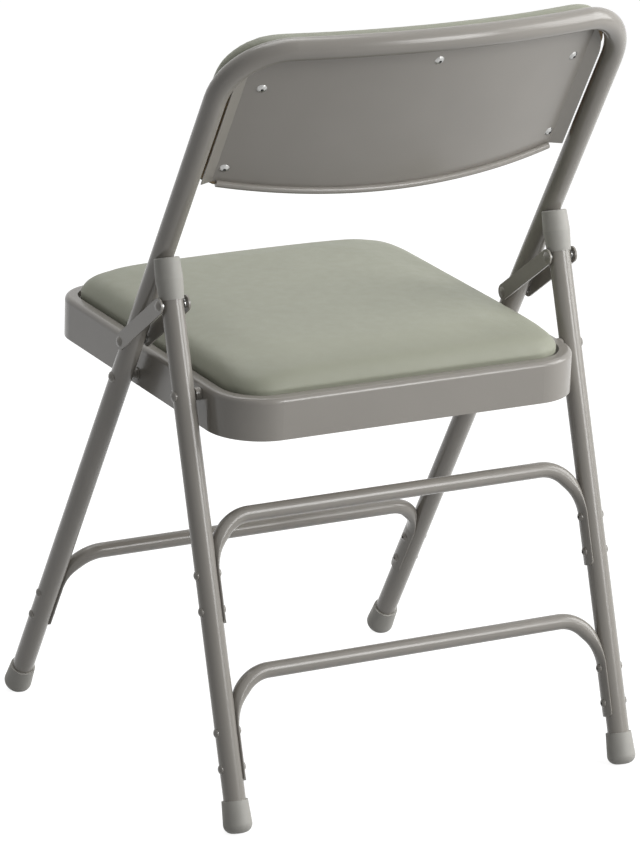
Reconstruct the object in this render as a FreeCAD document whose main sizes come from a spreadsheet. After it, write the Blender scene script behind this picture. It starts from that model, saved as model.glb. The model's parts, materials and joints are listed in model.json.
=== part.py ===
import FreeCAD, Part
import math
import os

import Sketcher
from FreeCAD import Placement, Rotation, Vector

# Folding chair: two bent steel frames, a padded seat that hangs between them, and a padded back.
# Frame of the model: +Z up, the sitter looks along -Y, origin on the floor below the middle.
# Each leg frame is modelled upright in its own frame (X across, Y behind, Z along the legs) and leant
# by its Placement; stations are distances along a leg's axis from the floor.

doc = FreeCAD.newDocument("FoldingChair")

DRIVING_SIZES = (
    # tubes and stance
    ("leg_spacing", 437.0, "between the axes of the left and right tubes"),
    ("leg_diameter", 22.2, "outside of the leg tubes"),
    ("leg_wall", 1.2, "wall of the leg tubes"),
    ("front_lean", 33.3, "front frame from the vertical, degrees, top to the rear"),
    ("rear_lean", 15.2, "rear legs from the vertical, degrees, top to the front"),
    ("crossing_station", 664.6, "where the front frame's axis crosses the rear legs' axes"),
    ("back_top_station", 924.0, "where the side tubes' and the top tube's axes would meet"),
    ("back_corner_radius", 72.0, "bend of the frame's top corners, at the axis"),
    ("back_bow_angle", 16.0, "how far the top tube turns to the rear at its corners, degrees"),
    # fold
    ("seat_front_drop", 182.6, "seat pivot below the crossing, on the front frame"),
    ("link_front_drop", 131.1, "link pivot below the crossing, on the front frame"),
    ("seat_rear_drop", 145.6, "seat pivot below the crossing, on the rear legs"),
    ("folded_gap", 28.0, "between the tube axes when the chair is folded"),
    ("link_width", 16.4, "width of a link plate"),
    ("link_thickness", 1.8, "thickness of a link plate"),
    ("link_offset", 2.9, "from the side of a tube to the link plate"),
    ("washer_gap", 0.3, "from a link washer to the tube"),
    ("pivot_diameter", 6.2, "shank of the pivot rivets"),
    ("pivot_head_diameter", 11.0, "head of the pivot rivets"),
    ("washer_diameter", 9.2, "washers on the link pivots"),
    ("pivot_clinch_diameter", 8.0, "inner head of the rear seat pivots"),
    ("pivot_head_height", 2.5, "height of the pivot rivets' heads"),
    ("pivot_flat_height", 1.3, "height of the link rivets' inner heads"),
    ("running_clearance", 0.06, "radial, pivot rivet in its turning hole"),
    ("spacer_diameter", 13.0, "seat pivot spacers"),
    ("spacer_neck_diameter", 8.0, "where the folded link passes the front spacer"),
    ("seat_clearance", 0.3, "between the seat and the links' inner rivet heads"),
    ("pivot_end_gap", 0.3, "between the rear spacer and the seat frame"),
    # caps and feet
    ("socket_fit", 0.05, "radial, between a tube and the cap or foot on it"),
    ("cap_wall", 1.1, "lower rim of the caps on top of the rear legs"),
    ("cap_belly", 2.7, "wall of a cap at its parting line"),
    ("cap_crown", 1.6, "wall of a cap at its top"),
    ("cap_belly_height", 20.4, "from a cap's rim to its parting line"),
    ("cap_length", 41.5, "whole cap"),
    ("cap_sleeve", 18.0, "length of cap around the tube"),
    ("cap_above_link", 4.8, "from the link pivot to the cap's lower edge"),
    ("cap_edge_round", 1.5, "rounding of the cap's top edge"),
    ("stop_gap", 0.3, "between a cap's saddle and the front frame"),
    ("foot_rim_radius", 13.1, "upper end of a foot"),
    ("foot_base_radius", 14.5, "lower end of a foot"),
    ("foot_height", 32.5, "length of a foot"),
    ("foot_edge_round", 9.0, "rounding around the sole"),
    ("sole_cut", 1.2, "depth of the flat worn under the rounding"),
    ("foot_floor", 6.0, "thickness below the tube's end"),
    # braces
    ("brace_diameter", 15.9, "outside of the brace tubes"),
    ("brace_wall", 1.0, "wall of the brace tubes"),
    ("tab_thickness", 2.6, "brace ends, pressed flat and round the legs"),
    ("tab_wrap", 42.0, "how far a pressed end goes round the leg each way, degrees"),
    ("tab_corner", 6.0, "rounding of a pressed end's corners"),
    ("tab_fit", 0.1, "between a pressed end and the leg"),
    ("brace_lap", 4.5, "how far a brace's line reaches over the leg's side"),
    ("front_brace_bar", 210.3, "station of the front brace's bar"),
    ("front_brace_end", 107.0, "station of the front brace's ends"),
    ("front_brace_radius", 33.0, "bend of the front brace"),
    ("front_rivet_pitch", 34.0, "between the two rivets of an end"),
    ("upper_brace_bar", 307.3, "station of the upper rear brace's bar"),
    ("upper_brace_end", 205.0, "station of the upper rear brace's ends"),
    ("lower_brace_bar", 153.1, "station of the lower rear brace's bar"),
    ("lower_brace_end", 50.5, "station of the lower rear brace's ends"),
    ("rear_brace_radius", 39.0, "bend of the rear braces"),
    ("rear_rivet_pitch", 35.5, "between the two rivets of an end"),
    ("squeeze_turn", 42.0, "where in its bend a brace starts to flatten, degrees"),
    ("squeeze_length", 9.0, "from the bend to the fully pressed end"),
    ("rivet_margin", 14.0, "from a brace's end to its first rivet"),
    ("rivet_diameter", 5.0, "shank of the fixed rivets"),
    ("rivet_head_diameter", 9.5, "head of the fixed rivets"),
    ("rivet_head_height", 2.2, "height of the fixed rivets' heads"),
    ("head_lift", 0.1, "of a head's flat over the round tube it is set on"),
    ("rivet_hollow", 3.0, "hole in a rivet's clinched end"),
    # seat
    ("seat_rear_rise", 21.5, "rear seat pivot above the front one, square to the seat"),
    ("seat_front_reach", 203.8, "front seat pivot to the seat's front edge"),
    ("seat_behind_pivot", 71.6, "rear seat pivot to the seat's rear edge"),
    ("seat_front_radius", 46.0, "front corners in plan"),
    ("seat_rear_radius", 55.0, "rear corners in plan"),
    ("seat_frame_height", 42.5, "depth of the seat frame"),
    ("seat_frame_wall", 1.5, "sheet of the seat frame"),
    ("seat_edge_round", 5.0, "rounding of the frame's top edge"),
    ("seat_rim_width", 13.0, "from the outside to the cushion's recess"),
    ("seat_recess", 6.0, "depth of the cushion's recess"),
    ("seat_ledge_width", 20.0, "ledge that carries the cushion's board"),
    ("seat_hem_width", 10.0, "flange turned in along the frame's lower edge"),
    ("seat_pivot_height", 11.5, "front seat pivot above the frame's lower edge"),
    ("seat_board_thickness", 9.0, "plywood under the seat's foam"),
    ("seat_foam_height", 19.0, "foam and cover above the board"),
    ("cover_wrap", 4.0, "foam and cover around the edge of a board"),
    ("seat_foam_round", 17.0, "rounding around the top of the foam"),
    ("cushion_gap", 0.8, "between the cushion and the recess"),
    ("seat_screw_inset", 24.0, "seat's outside to the row of screws"),
    ("screw_diameter", 4.0, "shank of the seat screws"),
    ("screw_head_diameter", 8.5, "head of the seat screws"),
    ("screw_length", 8.0, "of a seat screw in the board"),
    # back
    ("back_sheet", 1.2, "sheet of the back panel"),
    ("back_margin_width", 13.5, "side margin that turns to the rear"),
    ("back_margin_rise", 4.0, "how far that margin turns to the rear"),
    ("back_side_gap", 5.5, "between the panel's edge and the side tube"),
    ("back_side_station", 746.5, "panel's lower edge at its sides"),
    ("back_middle_station", 740.5, "panel's lower edge in the middle"),
    ("back_lip_diameter", 7.0, "rolled lower edge of the panel"),
    ("back_lip_inset", 3.0, "from the panel's side to the end of its rolled edge"),
    ("back_board_thickness", 6.0, "plywood in the back pad"),
    ("back_foam_thickness", 16.0, "foam and cover in front of the board"),
    ("back_foam_round", 13.0, "rounding around the front of the foam"),
    ("back_pad_half_width", 213.0, "middle to the side of the pad"),
    ("back_pad_drop", 3.5, "pad's upper edge below the top tube's axis"),
    ("back_pad_bottom", 737.0, "station of the pad's lower edge"),
    ("back_pad_radius", 62.0, "corners of the pad"),
    ("pad_gap", 0.3, "between the back pad and the tubes"),
    ("back_rivet_upper_side", 174.0, "middle to the upper side rivets"),
    ("back_rivet_lower_side", 183.5, "middle to the lower side rivets"),
    ("back_rivet_top", 870.9, "station of the upper side rivets"),
    ("back_rivet_crest", 907.0, "station of the middle rivet"),
    ("back_rivet_bottom", 764.2, "station of the lower rivets"),
    ("back_rivet_head", 10.0, "head of the back's rivets"),
)

sizes = doc.addObject("Spreadsheet::Sheet", "Sizes")
for row, (alias, number, meaning) in enumerate(DRIVING_SIZES, start=1):
    sizes.set("A%d" % row, alias)
    sizes.set("B%d" % row, str(number))
    sizes.set("C%d" % row, meaning)
    sizes.setAlias("B%d" % row, alias)
doc.recompute()


def size(alias):
    return float(sizes.get(alias))


def bind(obj, prop, formula):
    """Ties a property to the sheet: each alias in the formula is written with a leading $."""
    obj.setExpression(prop, formula.replace("$", "Sizes."))


# --- worked-out places -------------------------------------------------------------------------

HALF_SPACING = size("leg_spacing") / 2
LEG_RADIUS = size("leg_diameter") / 2
ALONG_X = Rotation(Vector(0, 1, 0), 90)
SIDES = (("left", 1), ("right", -1))


def direction(lean):
    """Direction up a leg in the Y-Z plane; a positive lean goes to the rear."""
    angle = math.radians(lean)
    return Vector(0, math.sin(angle), math.cos(angle))


FRONT_UP = direction(size("front_lean"))
REAR_UP = direction(-size("rear_lean"))


def foot_end_station(lean):
    """Station of a foot's flat end, so that the rounding goes below the floor by the sole cut."""
    angle = math.radians(lean)
    rounding = size("foot_edge_round")
    flat_radius = size("foot_base_radius") - rounding
    return (rounding + flat_radius * math.sin(angle) - size("sole_cut")) / math.cos(angle) - rounding


def foot_reach(lean):
    """How far a foot's rounding reaches past its axis's floor point, on the side it leans away from."""
    angle = math.radians(lean)
    rounding = size("foot_edge_round")
    flat_radius = size("foot_base_radius") - rounding
    along = (foot_end_station(lean) + rounding) * math.sin(angle)
    return flat_radius * math.cos(angle) + rounding - along


# The top tube bows to the rear in a level arc. In the front frame, level and to the rear is:
LEAN = math.radians(size("front_lean"))
LEVEL_REAR = Vector(0, math.cos(LEAN), math.sin(LEAN))
BOW = math.radians(size("back_bow_angle"))
TOP_HEADING = Vector(-math.cos(BOW), 0, 0) + LEVEL_REAR * math.sin(BOW)
CORNER_TURN = math.acos(TOP_HEADING.z)
CORNER_REACH = size("back_corner_radius") * math.tan(CORNER_TURN / 2)
TOP_END = Vector(HALF_SPACING, 0, size("back_top_station")) + TOP_HEADING * CORNER_REACH
LEVEL_RADIUS = TOP_END.x / math.sin(BOW)
TOP_SAG = LEVEL_RADIUS * (1 - math.cos(BOW))
TOP_CREST = Vector(0, TOP_END.y, TOP_END.z) + LEVEL_REAR * TOP_SAG
# Seen along the side tubes, that arc is this one:
TOP_RADIUS = (TOP_END.x ** 2 + (TOP_CREST.y - TOP_END.y) ** 2) / (2 * (TOP_CREST.y - TOP_END.y))
TOP_CENTRE_BACK = TOP_CREST.y - TOP_RADIUS


def bowed(x, in_front=0.0):
    """Y of the bowed top tube's axis at x, or of a surface that many mm in front of it."""
    return TOP_CENTRE_BACK + math.sqrt((TOP_RADIUS - in_front) ** 2 - x * x)


def top_station(x):
    """Station of the top tube's axis at x, between its corners."""
    return TOP_CREST.z - LEVEL_REAR.z * (LEVEL_RADIUS - math.sqrt(LEVEL_RADIUS ** 2 - x * x))


CROSSING = size("crossing_station")
REAR_CROSSING = CROSSING * FRONT_UP.z / REAR_UP.z
FOOT_SPREAD = CROSSING * FRONT_UP.y - REAR_CROSSING * REAR_UP.y


def rearmost():
    """Furthest point behind the front frame's floor point: a rear foot or the bowed top tube."""
    foot = FOOT_SPREAD + foot_reach(size("rear_lean"))
    top = FRONT_UP.y * TOP_CREST.z + FRONT_UP.z * TOP_CREST.y + LEG_RADIUS
    return max(foot, top)


FRONT_FLOOR_Y = (foot_reach(size("front_lean")) - rearmost()) / 2
REAR_FLOOR_Y = FRONT_FLOOR_Y + FOOT_SPREAD
FRONT_FRAME = Placement(Vector(0, FRONT_FLOOR_Y, 0), Rotation(Vector(1, 0, 0), -size("front_lean")))
REAR_FRAME = Placement(Vector(0, REAR_FLOOR_Y, 0), Rotation(Vector(1, 0, 0), size("rear_lean")))


def front_point(station):
    return Vector(0, FRONT_FLOOR_Y, 0) + FRONT_UP * station


def rear_point(station):
    return Vector(0, REAR_FLOOR_Y, 0) + REAR_UP * station


SEAT_FRONT_STATION = CROSSING - size("seat_front_drop")
LINK_FRONT_STATION = CROSSING - size("link_front_drop")
SEAT_REAR_STATION = REAR_CROSSING - size("seat_rear_drop")
SEAT_FRONT = front_point(SEAT_FRONT_STATION)
LINK_FRONT = front_point(LINK_FRONT_STATION)
SEAT_REAR = rear_point(SEAT_REAR_STATION)


def rear_link_station():
    """Station of the link on the rear legs with which the legs fold flat at the stated gap.

    Folded, both legs are parallel and the four pivots lie in two lines, one folded gap apart. Along
    the legs, the link then spans reach minus the wanted station; squared, that is linear in it.
    """
    gap = size("folded_gap")
    seat_drop = math.sqrt((SEAT_REAR - SEAT_FRONT).Length ** 2 - gap ** 2)
    reach = LINK_FRONT_STATION - SEAT_FRONT_STATION + seat_drop + SEAT_REAR_STATION
    offset = rear_point(0) - LINK_FRONT
    along = offset.dot(REAR_UP)
    return (reach ** 2 + gap ** 2 - offset.Length ** 2) / (2 * (reach + along))


LINK_REAR_STATION = rear_link_station()
LINK_REAR = rear_point(LINK_REAR_STATION)


def seat_pitch():
    """How far the seat is lower at the rear, in degrees, from its two pivots and their heights in it."""
    across = SEAT_REAR - SEAT_FRONT
    return math.degrees(math.asin(size("seat_rear_rise") / across.Length) - math.atan2(across.z, across.y))


SEAT_FRAME = Placement(SEAT_FRONT, Rotation(Vector(1, 0, 0), -seat_pitch()))
SEAT_BOTTOM = -size("seat_pivot_height")
REAR_PIVOT_IN_SEAT = SEAT_FRAME.inverse().multVec(SEAT_REAR)
SEAT_REAR_REACH = REAR_PIVOT_IN_SEAT.y + size("seat_behind_pivot")

CAP_BOTTOM = LINK_REAR_STATION + size("cap_above_link")
CAP_TOP = CAP_BOTTOM + size("cap_length")
REAR_TUBE_TOP = CAP_BOTTOM + size("cap_sleeve")
LINK_INNER = HALF_SPACING - LEG_RADIUS - size("link_offset")
LINK_OUTER = HALF_SPACING + LEG_RADIUS + size("link_offset")
LINK_INNER_FACE = LINK_INNER - size("link_thickness")
SEAT_HALF_WIDTH = LINK_INNER_FACE - size("pivot_flat_height") - size("seat_clearance")
PANEL_RECESS = LEG_RADIUS - size("back_sheet")
BOARD_FRONT = LEG_RADIUS + size("pad_gap")

# --- small makers ------------------------------------------------------------------------------

def place(obj, frame, base, turn=Rotation()):
    obj.Placement = frame.multiply(Placement(base, turn))
    return obj


def cylinder(name, radius, height, frame, base, turn=Rotation()):
    obj = doc.addObject("Part::Cylinder", name)
    bind(obj, "Radius", radius)
    bind(obj, "Height", height)
    return place(obj, frame, base, turn)


def fuse(name, pieces):
    obj = doc.addObject("Part::MultiFuse", name)
    obj.Shapes = pieces
    return obj


def group(name, pieces):
    """Identical fasteners of one body, kept as separate solids in one sub-part."""
    obj = doc.addObject("Part::Compound", name)
    obj.Links = pieces
    return obj


def cut(name, base, tool):
    obj = doc.addObject("Part::Cut", name)
    obj.Base = base
    obj.Tool = tool
    return obj


def shape(name, solid, frame=Placement()):
    obj = doc.addObject("Part::Feature", name)
    obj.Shape = solid
    obj.Placement = frame
    return obj


def arc_through(centre, radius, start, end, first, second):
    """Arc about centre in the plane of two unit vectors, from one angle to the other, in radians."""
    points = []
    for angle in (start, (start + end) / 2, end):
        points.append(centre + first * (radius * math.cos(angle)) + second * (radius * math.sin(angle)))
    return Part.Arc(*points).toShape()


def line(start, end):
    return Part.LineSegment(start, end).toShape()


def swept_tube(name, path, radius, bore, start, frame, turn=Rotation()):
    """Tube along a path of lines and tangent arcs; turn takes the Z direction to its heading at the start."""
    spine = shape(name + "_path", path, frame)
    walls = []
    for side, formula in (("outside", radius), ("bore", bore)):
        ring = doc.addObject("Part::Circle", "%s_%s_ring" % (name, side))
        bind(ring, "Radius", formula)
        place(ring, frame, start, turn)
        sweep = doc.addObject("Part::Sweep", "%s_%s" % (name, side))
        sweep.Sections = [ring]
        sweep.Spine = (spine, ["Edge%d" % (i + 1) for i in range(len(path.Edges))])
        sweep.Solid = True
        sweep.Frenet = False
        sweep.Transition = "Transformed"
        walls.append(sweep)
    return cut(name + "_tube", walls[0], walls[1])


def cross_holes(name, radius, frame, stations, reach="$leg_diameter * 2"):
    """Cylinders across the left and right tubes at the given stations."""
    tools = []
    for side, sign in SIDES:
        for number, station in enumerate(stations):
            base = Vector(sign * HALF_SPACING - size("leg_diameter"), 0, station)
            tools.append(cylinder("%s_%s_%d" % (name, side, number), radius, reach, frame, base, ALONG_X))
    return fuse(name, tools)


def dome(name, width, height, frame, base, turn):
    """Cap of a sphere: width and height are sheet names, and its flat lies at base, facing back."""
    radius, tall = size(width) / 2, size(height)
    ball_radius = (radius ** 2 + tall ** 2) / (2 * tall)
    ball = doc.addObject("Part::Sphere", name)
    bind(ball, "Radius", "(($%s / 2) ^ 2 + $%s ^ 2) / (2 * $%s)" % (width, height, height))
    bind(ball, "Angle1", "asin(1 - 2 * $%s ^ 2 / (($%s / 2) ^ 2 + $%s ^ 2))" % (height, width, height))
    ball.Angle2 = 90
    centre = base - turn.multVec(Vector(0, 0, ball_radius - tall))
    return place(ball, frame, centre, turn)


def collar(name, width, frame, where, outward, at, seat):
    """What a head set on a round tube has under its flat: a ring ended by the tube it sits on.

    seat is (the tube's radius, the place of its axis on X); outward is 1 or -1, away from that axis.
    """
    radius, centre = seat
    drop = radius - math.sqrt(radius ** 2 - (size(width) / 2) ** 2) + size("head_lift")
    low = where if outward < 0 else where - drop
    ring = doc.addObject("Part::Cylinder", name + "_ring")
    bind(ring, "Radius", "$%s / 2" % width)
    ring.Height = drop
    place(ring, frame, Vector(low, at[0], at[1]), ALONG_X)
    tube = doc.addObject("Part::Cylinder", name + "_seat")
    tube.Radius = radius
    bind(tube, "Height", "$%s * 2" % width)
    place(tube, frame, Vector(centre, at[0], at[1] - size(width)))
    return cut(name, ring, tube)


def rivet(name, shank, heads, start, end, frame, at, hollow_end=False, seats=(None, None)):
    """Rivet along X: shank from start to end at the point (y, z) of a frame, a dome beyond each end.

    heads is (head diameter, head height) as sheet names, or None for an end without a head; seats names
    the round tubes that the heads sit on, see collar.
    """
    low, high = min(start, end), max(start, end)
    stem = doc.addObject("Part::Cylinder", name + "_shank")
    bind(stem, "Radius", "$%s / 2" % shank)
    stem.Height = high - low
    place(stem, frame, Vector(low, at[0], at[1]), ALONG_X)
    pieces = [stem]
    for where, head, seat in ((start, heads[0], seats[0]), (end, heads[1], seats[1])):
        if head is None:
            continue
        if seat is not None:
            side = 1 if where == high else -1
            where = where + side * size("head_lift")
            pieces.append(collar("%s_collar_%d" % (name, len(pieces)), head[0], frame, where, side, at, seat))
            outward = Rotation(Vector(0, 1, 0), side * 90)
            pieces.append(dome("%s_head_%d" % (name, len(pieces)), head[0], head[1], frame,
                               Vector(where, at[0], at[1]), outward))
            continue
        outward = Rotation(Vector(0, 1, 0), 90 if where == high else -90)
        pieces.append(dome("%s_head_%d" % (name, len(pieces)), head[0], head[1], frame,
                           Vector(where, at[0], at[1]), outward))
    whole = fuse(name + "_solid", pieces)
    if not hollow_end:
        return whole
    outward = 1 if end == high else -1
    lift = size("head_lift") if seats[1] else 0
    mouth = end + outward * (size("rivet_head_height") + lift)
    depth = 2 * size("rivet_head_height")
    hole = doc.addObject("Part::Cylinder", name + "_hollow")
    bind(hole, "Radius", "$rivet_hollow / 2")
    bind(hole, "Height", "2 * $rivet_head_height")
    place(hole, frame, Vector(min(mouth, mouth - outward * depth), at[0], at[1]), ALONG_X)
    return cut(name + "_clinched", whole, hole)


def sketch_in(body, name, plane):
    sketch = body.newObject("Sketcher::SketchObject", name)
    origin = [f for f in body.Origin.OriginFeatures if f.Role == plane][0]
    sketch.AttachmentSupport = [(origin, "")]
    sketch.MapMode = "FlatFace"
    return sketch


def draw_profile(sketch, corners):
    """Closed outline of straight lines through the corners, joined point to point."""
    last = len(corners) - 1
    for i, corner in enumerate(corners):
        following = corners[0 if i == last else i + 1]
        sketch.addGeometry(Part.LineSegment(Vector(*corner, 0), Vector(*following, 0)), False)
    for i in range(len(corners)):
        sketch.addConstraint(Sketcher.Constraint("Coincident", i, 2, 0 if i == last else i + 1, 1))


def rounded_rectangle(half_width, front, rear, front_radius, rear_radius, height):
    """Wire in plan: front is the -Y edge, rear the +Y edge."""
    edges = []
    x, y, up = Vector(1, 0, 0), Vector(0, 1, 0), Vector(0, 0, height)
    quarter = math.pi / 2
    corners = (
        (half_width, rear, rear_radius, -1, -1, 0),
        (-half_width, rear, rear_radius, 1, -1, 1),
        (-half_width, front, front_radius, 1, 1, 2),
        (half_width, front, front_radius, -1, 1, 3),
    )
    centres = []
    for corner_x, corner_y, radius, to_x, to_y, turn in corners:
        centre = Vector(corner_x + to_x * radius, corner_y + to_y * radius, 0) + up
        centres.append((centre, radius, turn * quarter))
    for i, (centre, radius, start) in enumerate(centres):
        edges.append(arc_through(centre, radius, start, start + quarter, x, y))
        following, next_radius, next_start = centres[(i + 1) % 4]
        here = centre + x * (radius * math.cos(start + quarter)) + y * (radius * math.sin(start + quarter))
        there = following + x * (next_radius * math.cos(next_start)) + y * (next_radius * math.sin(next_start))
        edges.append(line(here, there))
    return Part.Wire(edges)


def prism(wire, length):
    return Part.Face(wire).extrude(Vector(0, 0, length))


def round_edges(solid, radius, wanted):
    """Fillet of the edges that a test picks by their middle point."""
    edges = [e for e in solid.Edges if wanted(e.valueAt((e.FirstParameter + e.LastParameter) / 2))]
    return solid.makeFillet(radius, edges)


NODES = {}


def keep(node, obj):
    obj.Label = node
    NODES[node] = obj
    return obj


# --- front frame -------------------------------------------------------------------------------

def front_frame_path():
    """Up the left leg, round the two top corners, which turn to the rear, and down again."""
    radius = size("back_corner_radius")
    bend_start = size("back_top_station") - CORNER_REACH
    tube_end = foot_end_station(size("front_lean")) + size("foot_floor")
    up = Vector(0, 0, 1)
    edges = []
    ends = []
    for side, sign in SIDES:
        start = Vector(sign * HALF_SPACING, 0, bend_start)
        end = Vector(sign * TOP_END.x, TOP_END.y, TOP_END.z)
        inward = Vector(sign * TOP_HEADING.x, TOP_HEADING.y, 0).normalize()
        half_turn = CORNER_TURN / 2
        middle = start + inward * radius * (1 - math.cos(half_turn)) + up * radius * math.sin(half_turn)
        edges.append(line(Vector(sign * HALF_SPACING, 0, tube_end), start))
        edges.append(Part.Arc(start, middle, end).toShape())
        ends.append(end)
    top = Part.Arc(ends[0], TOP_CREST, ends[1]).toShape()
    return Part.Wire(Part.__sortEdges__([edges[0], edges[1], top, edges[3], edges[2]]))


def pivot_holes(name, frame, loose, tight):
    """Holes across both legs: loose stations turn on their rivet, tight ones hold it."""
    tools = []
    if loose:
        tools.append(cross_holes(name + "_turning", "$pivot_diameter / 2 + $running_clearance", frame, loose))
    if tight:
        tools.append(cross_holes(name + "_held", "$pivot_diameter / 2", frame, tight))
    return tools


def make_front_frame():
    tube_end = foot_end_station(size("front_lean")) + size("foot_floor")
    start = Vector(HALF_SPACING, 0, tube_end)
    tube = swept_tube("front", front_frame_path(), "$leg_diameter / 2", "$leg_diameter / 2 - $leg_wall",
                      start, FRONT_FRAME)
    tools = pivot_holes("front_leg", FRONT_FRAME, [LINK_FRONT_STATION], [SEAT_FRONT_STATION])
    tools.append(cross_holes("front_brace_hole", "$rivet_diameter / 2", FRONT_FRAME, front_rivet_stations()))
    keep("front_frame_tube", cut("front_frame_drilled", tube, fuse("front_frame_holes", tools)))


def front_rivet_stations():
    first = size("front_brace_end") + size("rivet_margin")
    return [first, first + size("front_rivet_pitch")]


def rear_rivet_stations():
    stations = []
    for brace in ("upper_brace_end", "lower_brace_end"):
        first = size(brace) + size("rivet_margin")
        stations.extend([first, first + size("rear_rivet_pitch")])
    return stations


def make_foot(node, frame, sign, lean):
    """Moulded cap on a tube's end, turned about the leg, with a flat to stand on."""
    bottom = foot_end_station(lean)
    rounding = size("foot_edge_round")
    base, rim = size("foot_base_radius"), size("foot_rim_radius")
    top = bottom + size("foot_height")
    body = doc.addObject("PartDesign::Body", node + "_body")
    sketch = sketch_in(body, node + "_profile", "XZ_Plane")
    bore_floor = bottom + size("foot_floor")
    corner = Vector(base - rounding, bottom + rounding, 0)
    sketch.addGeometry(Part.LineSegment(Vector(0, bottom, 0), Vector(base - rounding, bottom, 0)), False)
    round_edge = Part.ArcOfCircle(Part.Circle(corner, Vector(0, 0, 1), rounding), -math.pi / 2, 0)
    sketch.addGeometry(round_edge, False)
    bore = LEG_RADIUS + size("socket_fit")
    outline = [Vector(base, bottom + rounding, 0), Vector(rim, top, 0), Vector(bore, top, 0),
               Vector(bore, bore_floor, 0), Vector(0, bore_floor, 0), Vector(0, bottom, 0)]
    for here, there in zip(outline, outline[1:]):
        sketch.addGeometry(Part.LineSegment(here, there), False)
    turned = body.newObject("PartDesign::Revolution", node + "_turned")
    turned.Profile = sketch
    turned.ReferenceAxis = (sketch, ["V_Axis"])
    turned.Angle = 360
    body.Placement = frame.multiply(Placement(Vector(sign * HALF_SPACING, 0, 0), Rotation()))
    doc.recompute()
    floor_y = frame.Base.y
    below = doc.addObject("Part::Box", node + "_floor")
    span = 4 * base
    below.Length = span
    below.Width = span
    below.Height = span
    below.Placement = Placement(Vector(sign * HALF_SPACING - span / 2, floor_y - span / 2, -span), Rotation())
    keep(node, cut(node + "_flat", body, below))


BRACE_RADIUS = size("brace_diameter") / 2
BRACE_LEG = HALF_SPACING - LEG_RADIUS - BRACE_RADIUS + size("brace_lap")
SQUEEZE_TURN = math.radians(size("squeeze_turn"))


def brace_bend(bar, radius, turn, sign):
    """Point of a brace's axis in its bend and the direction away from the bend's centre."""
    outward = Vector(sign * math.cos(turn), 0, math.sin(turn))
    return Vector(sign * (BRACE_LEG - radius), 0, bar - radius) + outward * radius, outward


def brace_path(bar, radius):
    """The round stretch of a brace, from where one bend starts to flatten to the same place in the other."""
    edges = []
    for sign in (1, -1):
        turns = (SQUEEZE_TURN, (SQUEEZE_TURN + math.pi / 2) / 2, math.pi / 2)
        edges.append(Part.Arc(*[brace_bend(bar, radius, turn, sign)[0] for turn in turns]).toShape())
    edges.append(line(Vector(BRACE_LEG - radius, 0, bar), Vector(radius - BRACE_LEG, 0, bar)))
    return Part.Wire(Part.__sortEdges__(edges))


def pressed_section(share, corner_count=16):
    """Section of a brace between the round tube, share 0, and the end pressed round the leg, share 1.

    Each point is (towards the leg, to the rear) from the brace's axis, starting away from the leg. The
    side towards the leg runs inside it and is cut off there.
    """
    wrap = math.radians(size("tab_wrap"))
    far, near = LEG_RADIUS + size("tab_thickness"), LEG_RADIUS - size("tab_thickness") / 2
    to_leg = HALF_SPACING - BRACE_LEG
    points = []
    for number in range(corner_count):
        turn = 2 * math.pi * number / corner_count
        on_far_side = math.cos(turn) > -0.001
        leg_radius = far if on_far_side else near
        leg_turn = wrap * (turn if turn <= math.pi else turn - 2 * math.pi) / (math.pi / 2)
        if not on_far_side:
            leg_turn = wrap * (math.pi - turn) / (math.pi / 2)
        ring = (-BRACE_RADIUS * math.cos(turn), BRACE_RADIUS * math.sin(turn))
        pressed = (to_leg - leg_radius * math.cos(leg_turn), leg_radius * math.sin(leg_turn))
        points.append([a + (b - a) * share for a, b in zip(ring, pressed)])
    return points


def section_wire(share, origin, outward):
    """Closed wire of a brace's section in the plane of outward and the chair's front-to-rear line."""
    rear = Vector(0, 1, 0)
    if share == 0:
        circle = Part.Circle(origin, outward.cross(rear), BRACE_RADIUS)
        circle.XAxis = outward * -1
        return Part.Wire([circle.toShape()])
    curve = Part.BSplineCurve()
    points = [origin + outward * a + rear * b for a, b in pressed_section(share)]
    curve.interpolate(points, PeriodicFlag=True)
    return Part.Wire([curve.toShape()])


def brace_end(bar, end, radius, sign):
    """End of a brace: flattened through its bend, then pressed round the leg, with rounded corners."""
    sections = []
    for share, turn_share in ((0, 1.0), (0.12, 0.7), (0.36, 0.4), (0.62, 0.12)):
        origin, outward = brace_bend(bar, radius, SQUEEZE_TURN * turn_share, sign)
        sections.append(section_wire(share, origin, outward))
    outward = Vector(sign, 0, 0)
    for share, drop_share in ((0.88, 0.45), (1, 1.0)):
        origin = Vector(sign * BRACE_LEG, 0, bar - radius - size("squeeze_length") * drop_share)
        sections.append(section_wire(share, origin, outward))
    flat_top = bar - radius - size("squeeze_length")
    squeezed = Part.makeLoft(sections, True, False)
    flat = Part.Face(sections[-1]).extrude(Vector(0, 0, end - flat_top))
    half = (LEG_RADIUS + size("tab_thickness")) * math.sin(math.radians(size("tab_wrap"))) + size("tab_fit")
    corner = size("tab_corner")
    quarter = math.pi / 2
    rear, up = Vector(0, 1, 0), Vector(0, 0, 1)
    edges = [line(Vector(0, half, end + corner), Vector(0, half, flat_top)),
             line(Vector(0, half, flat_top), Vector(0, -half, flat_top)),
             line(Vector(0, -half, flat_top), Vector(0, -half, end + corner)),
             arc_through(Vector(0, corner - half, end + corner), corner, 2 * quarter, 3 * quarter, rear, up),
             line(Vector(0, corner - half, end), Vector(0, half - corner, end)),
             arc_through(Vector(0, half - corner, end + corner), corner, 3 * quarter, 4 * quarter, rear, up)]
    trim = Part.Face(Part.Wire(edges)).extrude(outward * HALF_SPACING)
    return squeezed.fuse(flat.common(trim))


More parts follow.
